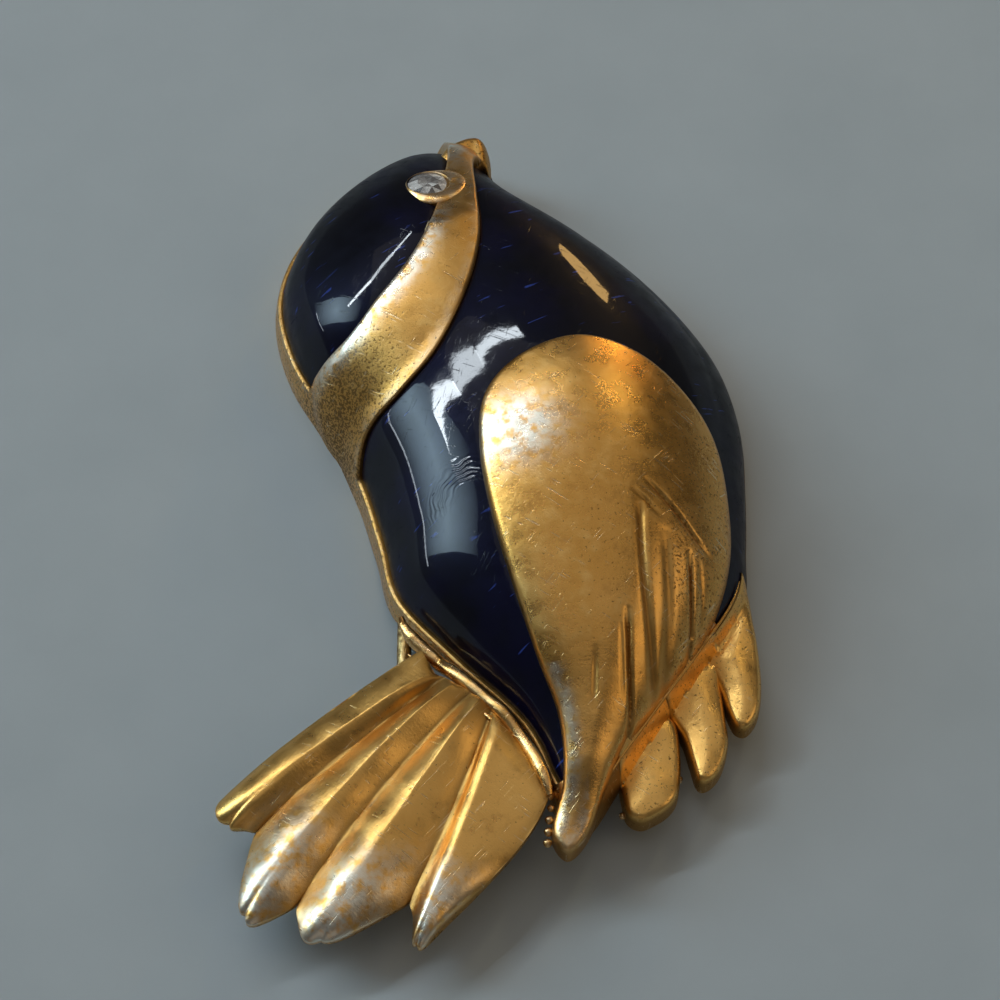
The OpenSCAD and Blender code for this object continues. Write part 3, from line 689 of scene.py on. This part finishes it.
def field_edges(u):
    r = along(FIELD, u)
    y = r[:, 1] * LENGTH
    x = np.minimum(np.maximum(r[:, 0] * WIDTH, edge_x(y, -1, 0.2)), edge_x(y, 1, 0.05))
    p, q = wing_line(r[:, 2]), wing_line(r[:, 2] + 0.05)
    d = q - p
    inward = np.stack([d[:, 1], -d[:, 0]], -1) / np.linalg.norm(d, axis=1)[:, None]
    return np.stack([x, y], -1), p + 0.3 * inward


def to_rolled(loop, pitch):
    """An outline in plan, put on the rolled-out surface."""
    dense = spaced(loop, 0.05)
    return spaced(rolled(dense[:, 0], dense[:, 1]), pitch)


wing_loop = spaced(wing_line(np.arange(0, len(WING), 0.02)), 0.12)
crown_loop = to_rolled(field_loop(len(CROWN) - 1, crown_edges), 0.16)
body_loop = to_rolled(field_loop(len(FIELD) - 1, field_edges), 0.16)

a_line = np.linspace(FOOT_Y - FOOT_SPAN * math.pi / 2, HEAD_Y + HEAD_SPAN * math.pi / 2, 400)
y_line = unrolled(np.stack([0 * a_line, a_line], -1))[:, 1]
_, left_w, right_w, _, _ = section(y_line)
shell_loop = np.vstack([
    np.stack([right_w * math.pi / 2, a_line], -1), np.stack([-left_w * math.pi / 2, a_line], -1)[::-1]])
shell_loop = spaced(shell_loop, 0.3)
co, tri, own = triangles([shell_loop, crown_loop, body_loop], 0.3, (0.05, 0.12, 0.2, 0.32))
mid = co[tri].mean(1)
in_crown, in_body = inside(mid, crown_loop), inside(mid, body_loop)
place, normal = unrolled(co), dome_normals(co)
d_crown, d_body = far(co, crown_loop), far(co, body_loop)
plan = place[:, :2]
d_wing = far(plan, wing_loop)
under_wing = inside(plan, wing_loop)


def notch(x, y, z):
    """Raises the back edge over the pin's stem."""
    over = unit(1.5 - np.abs(x - PIN_X) / 0.5) * unit((NOTCH_Y - y) / 0.5)
    return np.maximum(z, NOTCH_Z * over)


# gold: surface outside the cells, rounded over at their edges, then the cells' walls
gold = Build(*SURFACE)
keep = ~(in_crown | in_body) & ~(under_wing[tri].all(1) & (d_wing[tri].min(1) > 0.9))
edge = np.minimum(d_crown, d_body)
on_band = unit((5.5 - np.maximum(d_crown, d_body)) / 1.5)
from_eye = unit((np.linalg.norm(plan - EYE, axis=1) - 2.0) / 2.0)
# the band slants down from the crown's edge, and is flat beside the eye
lean = np.maximum(0.55 - 0.22 * d_crown + 0.16 * (1 - np.exp(-d_crown / 0.8)), -0.1)
swell = lean * bulge(d_crown, 0.2) * bulge(d_body, 0.15) * on_band * from_eye
shell = place + normal * (swell - LIP + LIP * bulge(edge, LIP))[:, None]
wall_foot = place[:, 2] <= section(place[:, 1])[4] + 0.02
shell[wall_foot, 2] = notch(shell[wall_foot, 0], shell[wall_foot, 1], shell[wall_foot, 2])
# painted light on the shell: the band is painted paler along the crown's edge as painted highlight and
# darker away from it as painted shade; the gold is also darkened along the right rim and along the cells'
# edges
band_low = spot(plan[:, 0], plan[:, 1], (-8.2, 6.0), (3.2, 4.0))
gold.add(shell, tri[keep], dark=np.clip(1.3 * band_low + 0.55 * (place[:, 2] < 3.0), 0, 1.3),
         dirt=0.5 * halo(edge, 0.10) + 0.8 * (place[:, 0] > edge_x(place[:, 1], 1, 0.6))
         + 0.3 * on_band * from_eye * (1 - halo(d_crown, 1.3)),
         wear=halo(d_crown - 0.5, 0.5) * on_band * from_eye + 0.25 * halo(edge - 0.25, 0.2))
for ids in own[1:]:
    top = shell[ids]
    down = place[ids] - normal[ids] * CELL
    n = len(ids)
    quads = strip(np.arange(n), np.arange(n) + n)
    # the cells' walls are painted darker towards their foot, as shade in the recess
    gold.add(np.vstack([top, down]), quads, dirt=np.repeat([0.35, 1.0], n))

# back: inner shell, rim and hinge post
steps, across = 90, 60
share = (1 - np.cos(np.linspace(0, math.pi, steps))) / 2
y_in = mix(FOOT_END * LENGTH + WALL, HEAD_END * LENGTH - WALL, share)
spine, lw, rw, crest, base = section(y_in, WALL)
t_in = -np.cos(np.linspace(0, math.pi, across))
x_in = spine[:, None] + t_in * np.where(t_in < 0, lw[:, None], rw[:, None])
z_in = base[:, None] + (crest - base)[:, None] * arch(t_in)
y_grid = np.repeat(y_in[:, None], across, 1)
z_in[:, 0] = notch(x_in[:, 0], y_in, z_in[:, 0])
z_in[:, -1] = base
inner = np.stack([x_in, y_grid, z_in], -1).reshape(-1, 3)
gold.add(inner, grid_quads(np.arange(steps * across).reshape(steps, across)), dark=0.9, dirt=0.25)
inner_loop = np.vstack([np.stack([x_in[:, 0], y_in], -1), np.stack([x_in[:, -1], y_in], -1)[::-1]])
inner_loop = spaced(inner_loop, 0.3)
rim_co, rim_tri, _ = triangles([shell[own[0]][:, :2], inner_loop], 0.45, (0.08, 0.2), 0.6)
rim_tri = rim_tri[~inside(rim_co[rim_tri].mean(1), inner_loop)]
rim_z = notch(rim_co[:, 0], rim_co[:, 1], section(rim_co[:, 1])[4])
gold.add(np.column_stack([rim_co, rim_z]), rim_tri[:, ::-1], dark=0.5, wear=0.3)


def rounded_box(build, centre, size, r, **vals):
    """Box with rounded edges, as rings from its bottom to its top."""
    a = np.linspace(0, math.pi / 2, 5)
    half = np.array(size) / 2 - r
    rows = []
    for end, v in [(-1, -k) for k in a[::-1]] + [(1, k) for k in a]:
        flat, z = r * math.cos(v), end * half[2] + r * math.sin(v)
        corners = [(sx * half[0] + flat * math.cos(u), sy * half[1] + flat * math.sin(u), z)
                   for q, (sx, sy) in enumerate(((1, 1), (-1, 1), (-1, -1), (1, -1)))
                   for u in q * math.pi / 2 + a]
        rows.append(np.array(corners) + centre)
    m = len(rows[0])
    faces = []
    for i in range(len(rows) - 1):
        faces += strip(np.arange(m) + i * m, np.arange(m) + (i + 1) * m)
    faces += [tuple(range(m - 1, -1, -1)), tuple(range((len(rows) - 1) * m, len(rows) * m))]
    build.add(np.vstack(rows), faces, **vals)


rounded_box(gold, (PIN_X, HINGE_Y, 4.4), (BLOCK_W, BLOCK_L, 3.9), 0.15, dark=0.8, dirt=0.2)

# raised line between enamel and tail, with a finer one beside it
ridge = smooth_line(RIDGE, 0.15)
ridge_z = np.maximum(body_z(ridge[:, 0] + 0.2, ridge[:, 1] + 0.2), 3.0) + 0.12
ridge = ridge - [0.20, 0.24]
share = np.linspace(0, 1, len(ridge))
ridge_r = np.interp(share, [0, 0.1, 0.9, 1], [0.16, 0.36, 0.34, 0.16])
tube(gold, np.column_stack([ridge, ridge_z - 0.05]), 1.1 * ridge_r, 16, wear=0.15)
fade = unit(np.minimum(share - 0.12, 0.80 - share) / 0.12)
finer = np.column_stack([ridge - [0.48, 0.54], ridge_z - 0.33 + 0.25 * fade])
tube(gold, finer[fade > 0], (0.03 + 0.11 * fade)[fade > 0], 10, wear=0.15)
# thin edge between wing and lobes
ledge_y = np.linspace(-5.3, -17.0, 90)
ledge_x = edge_x(ledge_y, 1, 0.55)
ledge_z = np.maximum(body_z(ledge_x, ledge_y), 2.6) + 0.1
ledge_r = np.interp(ledge_y, [-17, -16, -6.5, -5.3], [0.06, 0.12, 0.09, 0.03])
tube(gold, np.column_stack([ledge_x, ledge_y, ledge_z]), ledge_r, 10, dirt=0.35)
gold_body = gold.make("gold_body", GOLD)


def glaze(name, node, chosen, loop_ids, drop):
    """Enamel pool: the body's surface moved in by the drop, with a skirt down into its cell."""
    own_tri = tri[chosen]
    pool = place - normal * drop[:, None]
    skirt = place[loop_ids] - normal[loop_ids] * (CELL - 0.1)
    used = np.unique(own_tri)
    renum = -np.ones(len(pool), int)
    renum[used] = np.arange(len(used))
    faces = [*map(tuple, renum[own_tri]), *strip(np.arange(len(loop_ids)) + len(used), renum[loop_ids])]
    ob = add_mesh(name, np.vstack([pool[used], skirt]), faces, ENAMEL, {}, 60)
    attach(ob, "root")
    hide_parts(node)


def sunk(d):
    """How far a pool lies under the body's surface, most at its edges."""
    return 0.2 + 0.10 * (1 - bulge(d, 0.45))


# the crown's pool is fuller on top, and the body's is flush at the breast
full_on_top = 0.42 * rise(d_crown, 3.0) * unit((normal[:, 2] - 0.35) / 0.35)
at_breast = unit(plan[:, 0] - edge_x(plan[:, 1], 1, 1.4))
glaze("crown_glaze", "crown_enamel", in_crown, own[1], sunk(d_crown) - full_on_top)
glaze("body_glaze", "body_enamel", in_body, own[2], mix(sunk(d_body) + 0.06, 0.02, at_breast))

# Wing
groove_lines = [(smooth_line(points, 0.15), 0.6 * width, depth) for points, width, depth in GROOVES]


def cuts(x, y):
    """Depth of the feather lines, and the painted shade in them."""
    p = np.stack([x, y], -1)
    total, groove_shade = np.zeros(len(p)), np.zeros(len(p))
    for line, w, depth in groove_lines:
        ends = np.minimum(np.linalg.norm(p - line[0], axis=1), np.linalg.norm(p - line[-1], axis=1))
        g = halo(far(p, line, False), w) * unit(0.25 + ends / 1.2)
        total = np.maximum(total, depth * g)
        groove_shade = np.maximum(groove_shade, g * min(depth / 0.2, 1))
    return total, groove_shade


def wing_base(x, y):
    """Height of the body under the wing, brought down to the tail's level at the wing's tip."""
    crest = np.maximum(body_z(x, y, 0, True), TAIL_Z)
    return mix(np.minimum(crest, TAIL_Z + 0.4), crest, ease(unit((y + 21.6) / 5.0)))


def wing_top(x, y, d):
    return wing_base(x, y) + 0.05 + 0.42 * bulge(d, 0.28) + 0.38 * rise(d, 5.0) - cuts(x, y)[0]


def wing_dark(x, y, d):
    return unit(0.5 * (x > 9.5) * (y < 2) + 0.3 * spot(x, y, (8, -6), (4, 4)))


def wing_highlight(x, y, d):
    """Painted highlight: silvery along the tip's edge and on the shoulder."""
    tip_edge = 0.6 * halo(d - 0.5, 0.35) * (y < -12) * (x < 5)
    return tip_edge + 1.7 * spot(x, y, (1.4, 0.9), (1.9, 1.7))


wing = Build(*SURFACE)
# the wing is painted darker in its feather lines and along its outline as painted shade, and paler on its
# shoulder and tip as painted highlight
plate(wing, wing_loop, wing_top, lambda x, y, d: wing_base(x, y) - 0.9, 0.11,
      dirt=lambda x, y, d: 0.7 * cuts(x, y)[1] + 0.5 * halo(d, 0.08), dark=wing_dark, wear=wing_highlight)
gold_wing = wing.make("gold_wing", GOLD)


# Tail
def fold_at(folds, u):
    """Places at the share u along folds that run through their root, middle and tip."""
    u = u[..., None]
    root, middle, tip = folds[..., 0:2], folds[..., 2:4], folds[..., 4:6]
    shares = (1 - u) * (1 - 2 * u) * root + 4 * u * (1 - u) * middle + u * (2 * u - 1) * tip
    return shares * [WIDTH, LENGTH]


def fan(build, folds, rows=120, per_fold=20, round_from=0.86, tip_thin=0.14):
    """Closed plate of rounded feathers with creases between them."""
    last = len(folds) - 1
    # q runs from root to tip, v across the folds, and s is 0 in a crease and 1 on a crest
    q = mix(0.999, -0.05, 1 - np.cos(np.linspace(0, math.pi / 2, rows)))[:, None]
    v = np.arange(last * per_fold + 1) / per_fold
    s = np.abs((v + 1) % 2 - 1)
    arc = np.sqrt(np.maximum(1 - (1 - s) ** 2, 0))
    at = fold_at(np.broadcast_to(along(folds, v), (rows, len(v), 6)), q * (1 + 0.15 * (arc - s)))
    full = np.sqrt(unit((q + 0.05) / 0.14))
    tip = unit((q - round_from) / (1 - round_from))
    end = np.sqrt(1 - (1 - tip_thin**2) * tip**2)
    rim = np.sqrt(unit(np.minimum(v, last - v)))
    low = TAIL_Z + TAIL_SLOPE * unit(1 - q) - 0.38 * unit((q - 0.66) / 0.34) ** 2
    wobble = 0.05 * np.sin(1.3 * at[..., 0] + 0.8 * at[..., 1]) * np.sin(0.9 * at[..., 1])
    soft = (np.sqrt(s**2 + 0.02) - 0.02**0.5) / (1.02**0.5 - 0.02**0.5)
    round_over = mix(soft, 1 - (1 - soft) ** 2, 0.45 + 0.45 * unit((q - 0.5) / 0.3))
    top = low + TAIL_RISE * round_over * full * end + wobble * full * (s > 0)
    under = low - TAIL_THICK * end * mix(0.35, 1, rim)
    ids = np.arange(rows * len(v)).reshape(rows, len(v))
    faces = grid_quads(ids, True)
    faces += [tuple(k + ids.size for k in f[::-1]) for f in faces]
    border = np.concatenate([ids[0], ids[1:, -1], ids[-1, -2::-1], ids[-2:0:-1, 0]])
    faces += strip(border + ids.size, border)
    verts = np.vstack([np.concatenate([at, z[..., None]], -1).reshape(-1, 3) for z in (top, under)])

    def spread(values):
        return np.broadcast_to(values, ids.shape).ravel()

    # painted highlight near the tips' crests; painted shade in the creases, at the root under the ridge and
    # on the underside
    tip_highlight = spread(unit((q - 0.58) / 0.22) * s * unit((v - 1.5) / 0.5))
    root = spread(unit(1 - q / 0.12))
    none = 0 * tip_highlight
    build.add(verts, faces, crest=np.append(spread(s**2), none),
              dirt=np.append(0.45 * spread(halo(s, 0.16)) + 0.5 * root, none + 0.3),
              wear=np.append(1.3 * tip_highlight, none), dark=np.append(none, none + 0.9))


tail = Build(*SURFACE)
fan(tail, TAIL)
gold_tail = tail.make("gold_tail", GOLD_TAIL_PAINTED_LIT)


# Breast lobes and the small casting beads
def lobe_top(x, y, d):
    """Pad that blends into the body's wall, which it climbs to the thin edge beside the wing."""
    pad = 1.9 + 0.6 * bulge(d, 0.28) + 0.4 * rise(d, 1.5) + 0.05 * np.sin(2.1 * x + 1.3 * y)
    wall = body_z(x, y) - 0.1 + 0.3 * bulge(d, 0.35)
    return (pad + wall + np.sqrt((pad - wall) ** 2 + 0.9)) / 2 - 0.1


lobes = Build(*SURFACE)
for points in LOBES:
    loop = smooth_loop(points, 0.14)
    # not past the thin edge beside the wing, and not into the hollow back
    reach = np.where(loop[:, 1] > LOBE_Y, LOBE_IN_ABOVE, LOBE_IN_BELOW)
    loop[:, 0] = np.maximum(loop[:, 0], edge_x(loop[:, 1], 1, reach))
    # the lobes are painted darker along their outlines, as shade in the pits between them
    plate(lobes, loop, lobe_top, lambda x, y, d: 1.55 - 0.35 * bulge(d, 0.5), 0.16,
          dirt=lambda x, y, d: 0.7 * halo(d, 0.06), dark=0.35)
gold_lobes = lobes.make("gold_lobes", GOLD_LOBE_PAINTED_LIT)


def ball(build, centre, r, squash, **vals):
    """Slightly uneven bead."""
    rows, sides = 10, 16
    v = []
    for i in range(rows + 1):
        a = math.pi * i / rows
        for j in range(sides):
            b = 2 * math.pi * j / sides
            v.append((centre[0] + r * math.sin(a) * math.cos(b) * (1 + 0.08 * math.sin(3 * b)),
                      centre[1] + r * math.sin(a) * math.sin(b), centre[2] - r * squash * math.cos(a)))
    faces = []
    for i in range(rows):
        faces += strip(np.arange(sides) + i * sides, np.arange(sides) + (i + 1) * sides)
    build.add(v, faces, **vals)


beads = Build(*SURFACE)
for x, y, z, r in BEADS:
    ball(beads, (x, y, z), r, 0.9, wear=0.3, dirt=0.15)
gold_beads = beads.make("gold_beads", GOLD)


# Beak, bezel and stone
def beak_top(x, y, d):
    return 3.4 + 1.3 * bulge(d, 0.6) + 0.25 * unit((-1.2 - x) / 1.5)


beak = Build(*SURFACE)
# the beak is painted darker all over, and most along its outline
plate(beak, smooth_loop(BEAK, 0.12), beak_top, lambda x, y, d: 3.0 - 1.0 * bulge(d, 1.1), 0.13,
      (0.03, 0.08, 0.15, 0.24, 0.35), dark=0.6, dirt=lambda x, y, d: 0.3 + 0.25 * halo(d, 0.2))
gold_beak = beak.make("gold_beak", GOLD)

eye_z = float(body_z(np.array([EYE[0]]), np.array([EYE[1]]))[0])
EYE_FRAME = Matrix.Translation((EYE[0], EYE[1], eye_z)) @ Matrix.Rotation(-LEAN, 4, "X")


def at_eye(v):
    """Places given around the middle of the eye, moved and leant to where it is."""
    v = np.asarray(v, float)
    m = np.array(EYE_FRAME)
    return v @ m[:3, :3].T + m[:3, 3]


R_STONE, R_SEAT = STONE_D / 2, STONE_D / 2 + SEAT_GAP
angles = np.linspace(0, 2 * math.pi, 720, endpoint=False)
outer = smooth_loop(BEZEL, 0.07)
seat = spaced(R_SEAT * np.stack([np.cos(angles), np.sin(angles)], -1), 0.07)
b_co, b_tri, b_own = triangles([outer, seat], 0.1, (0.03, 0.07, 0.12), 0.6)
b_tri = b_tri[~inside(b_co[b_tri].mean(1), seat)]
d_out, d_in = far(b_co, outer), far(b_co, seat)
crater = np.linalg.norm(b_co - [1.6, 0.3], axis=1)
b_z = 0.17 * bulge(d_in, 0.10) - 0.05
b_z += 0.05 * halo(crater - 0.26, 0.06) - 0.05 * halo(crater, 0.16)
bezel = Build(*SURFACE)
top = at_eye(np.column_stack([b_co, b_z]))
down_to = body_z(top[:, 0], top[:, 1]) - 0.04 + 0.14 * bulge(d_out, 0.5)
top[:, 2] = mix(top[:, 2], down_to, ease(d_in / (d_in + d_out)))
# painted shade: the bezel is darkened round the stone's seat, in its small dimple and down its walls
bezel.add(top, b_tri, wear=0.4, dirt=0.75 * halo(d_in, 0.05) + 0.5 * halo(crater - 0.17, 0.05))
for ids, depth in ((b_own[0], 0.6), (b_own[1], 0.9)):
    n = len(ids)
    low = top[ids] - np.array([0, math.sin(LEAN), math.cos(LEAN)]) * depth
    bezel.add(np.vstack([top[ids], low]), strip(np.arange(n) + n, np.arange(n)), dirt=1.0)
gold_bezel = bezel.make("gold_bezel", GOLD)


def ring(n, r, z, turn=0.0):
    """Points evenly round a circle; the turn is in steps."""
    a = 2 * math.pi * (np.arange(n) + turn) / n
    return np.column_stack([r * np.cos(a), r * np.sin(a), np.full(n, z)])


# points of the stone: table 0 to 7, star 8 to 15, girdle 16 to 47, culet 48
table = ring(8, R_STONE * TABLE, CROWN_H)
kite_slope = (CROWN_H - 0.04) / (R_STONE * (1 - TABLE))
star_r = R_STONE * 0.8
star = ring(8, star_r, CROWN_H - kite_slope * (star_r * math.cos(math.pi / 8) - R_STONE * TABLE), 0.5)
girdle_top, girdle_low = ring(16, R_STONE, 0.04), ring(16, R_STONE, -0.04)
culet = np.array([[0, 0, -PAVILION]])
stone_v = np.vstack([table, star, girdle_top, girdle_low, culet]) + [0, 0, GIRDLE]
stone_f = [tuple(range(8))]
for i in range(8):
    j, g = (i + 1) % 8, 16 + 2 * i
    stone_f += [(i, 8 + i, j), (i, 8 + (i - 1) % 8, g, 8 + i)]
    stone_f += [(8 + i, g, g + 1), (8 + i, g + 1, 16 + (2 * i + 2) % 16)]
for i in range(16):
    a, b = 16 + i, 16 + (i + 1) % 16
    stone_f += [(a, a + 16, b + 16, b), (a + 16, 48, b + 16)]


def face_outward(me):
    bm = bmesh.new()
    bm.from_mesh(me)
    bmesh.ops.recalc_face_normals(bm, faces=bm.faces)
    bm.to_mesh(me)
    bm.free()


def faceted(name, verts, faces, material, tones=None):
    """Flat-shaded mesh. With glint tones, each face has its own points, which hold its painted glint."""
    verts = np.asarray(verts) * MM
    if tones is not None:
        sizes = [len(f) for f in faces]
        verts = np.vstack([verts[list(f)] for f in faces])
        tones = np.repeat(tones, sizes)
        starts = np.cumsum([0] + sizes)
        faces = [tuple(range(starts[i], starts[i + 1])) for i in range(len(faces))]
    me = bpy.data.meshes.new(name)
    me.from_pydata(verts.tolist(), [], faces)
    if tones is None:
        face_outward(me)
    else:
        layer = me.attributes.new("tone", "FLOAT", "POINT")
        layer.data.foreach_set("value", np.asarray(tones, np.float32))
    me.materials.append(material)
    ob = bpy.data.objects.new(name, me)
    scene.collection.objects.link(ob)
    return ob


stone = faceted("stone_glass", at_eye(stone_v), stone_f, glass_material("clear_stone"))
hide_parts("eye_stone")
# points of the foil cup: upper rim 0 to 15, middle ring 16 to 23, middle 24, lower rim 25 to 40, tip 41
cup = np.vstack([ring(16, R_STONE + 0.02, 0.05), ring(8, 0.55 * R_STONE, 0.20, 0.5), [[0, 0, 0.09]],
                 ring(16, R_STONE + 0.02, -0.12), [[0, 0, -PAVILION - 0.1]]]) + [0, 0, GIRDLE]
cup_f = []
for i in range(8):
    a, b, c, e = 2 * i, 2 * i + 1, (2 * i + 2) % 16, 16 + i
    cup_f += [(a, b, e), (b, c, e), (a, e, 16 + (i - 1) % 8), (e, 24, 16 + (i - 1) % 8)]
for i in range(16):
    j = (i + 1) % 16
    cup_f += [(25 + i, 41, 25 + j), (i, 25 + i, 25 + j, j)]
# painted glints: each facet of the foil gets its own brightness, from dark to white
facet_tones = 0.5 + 0.5 * np.sin(2.4 * np.arange(len(cup_f)) ** 1.3)
foil_cup = faceted("stone_foil", at_eye(cup), cup_f, foil_material("silver_foil"), facet_tones)

# Pin: stem, hinge and catch
pin = Build()
stem_y = np.linspace(HINGE_Y, CATCH_Y, 120)
stem_r = np.interp(stem_y, [CATCH_Y, CATCH_Y + 1.5, HINGE_Y], [STEM_R - 0.01, STEM_R, STEM_R])
stem_r = stem_r + 0.012 * np.sin(stem_y * 2.3)
stem = np.column_stack([np.full(120, PIN_X), stem_y, np.full(120, STEM_Z)])
tube(pin, stem, np.minimum(stem_r, STEM_R), 20)
rounded_box(pin, (PIN_X, HINGE_Y, 1.45), (BLOCK_W, BLOCK_L, 1.9), 0.14)
rounded_box(pin, (PIN_X, CATCH_Y, 0.925), (BLOCK_W, BLOCK_L, 1.85), 0.14)
pin_piece = pin.make("pin_metalwork", pin_material("pin_metal"))
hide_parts("pin")

pieces = {
    "gold_casting": (gold_body, gold_wing, gold_tail, gold_lobes, gold_beads, gold_beak, gold_bezel),
    "stone": (stone, foil_cup), "pin_metal": (pin_piece,)}
for slot, obs in pieces.items():
    for ob in obs:
        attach(ob, "root")
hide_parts("casting")

# Floor, light and camera
FLOOR_HALF = 600.0
floor_corners = [(sx * FLOOR_HALF, sy * FLOOR_HALF, 0) for sx, sy in ((-1, -1), (1, -1), (1, 1), (-1, 1))]
floor = add_mesh("floor", floor_corners, [(0, 1, 2, 3)], floor_material("pale_floor"))
# what the lamps point at, in metres
MIDDLE = Vector((0, 0, 0.004))


def area_light(name, azimuth, elevation, distance, width, height, power, colour, spread=180, roll=0):
    """Flat lamp that faces the brooch. Angles are degrees and lengths metres."""
    az, el = math.radians(azimuth), math.radians(elevation)
    where = Vector((math.sin(az) * math.cos(el), math.cos(az) * math.cos(el), math.sin(el)))
    data = bpy.data.lights.new(name, "AREA")
    data.shape, data.size, data.size_y, data.energy, data.color = "RECTANGLE", width, height, power, colour
    data.spread = math.radians(spread)
    ob = bpy.data.objects.new(name, data)
    ob.location = where * distance + MIDDLE
    facing = (-where).to_track_quat("-Z", "Y")
    ob.rotation_euler = (facing @ Quaternion((0, 0, 1), math.radians(roll))).to_euler()
    scene.collection.objects.link(ob)


COOL, WARM = (0.84, 0.93, 1.0), (1.0, 0.93, 0.84)
area_light("key_right", -7.5, 49.3, 0.42, 0.106, 0.007, 0.075, COOL, 180, 25)
area_light("key_middle", -31.5, 51.8, 0.42, 0.124, 0.010, 0.100, COOL, 180, -5)
area_light("key_left", -57, 45.2, 0.42, 0.150, 0.010, 0.215, COOL, 180, -36)
area_light("left_fill", -72, 29, 0.5, 0.15, 0.40, 0.095, (0.62, 0.86, 1.0), 47)
area_light("low_left", -77, 8, 0.5, 0.14, 0.011, 0.055, (0.80, 0.90, 1.0))
area_light("overhead", 0, 76, 0.6, 0.60, 0.66, 0.38, WARM)
area_light("front_fill", 180, 30, 0.7, 0.6, 0.3, 0.10, (1.0, 0.84, 0.66))
area_light("right_fill", 95, 36, 0.6, 0.35, 0.40, 0.055, (1.0, 0.80, 0.52), 70)
area_light("warm_low", 23, 14.5, 0.4, 0.035, 0.05, 0.09, (1.0, 0.60, 0.20))
area_light("warm_high", 30, 38, 0.4, 0.025, 0.05, 0.05, (1.0, 0.84, 0.46))

world = bpy.data.worlds.new("studio")
world.use_nodes = True
world.node_tree.nodes["Background"].inputs[0].default_value = (0.48, 0.48, 0.48, 1)
world.node_tree.nodes["Background"].inputs[1].default_value = 0.15
scene.world = world

# the photograph's angle; places are in metres
ELEVATION = 58
cam = bpy.data.cameras.new("camera")
cam.lens, cam.sensor_width, cam.sensor_fit = 94.74, 36.0, "HORIZONTAL"
cam.clip_start, cam.clip_end = 0.005, 5.0
camera = bpy.data.objects.new("camera", cam)
camera.location = (0.00045, -0.07724, 0.12721)
camera.rotation_euler = (math.radians(90 - ELEVATION), 0, 0)
scene.collection.objects.link(camera)
scene.camera = camera
scene.view_settings.view_transform = "Standard"
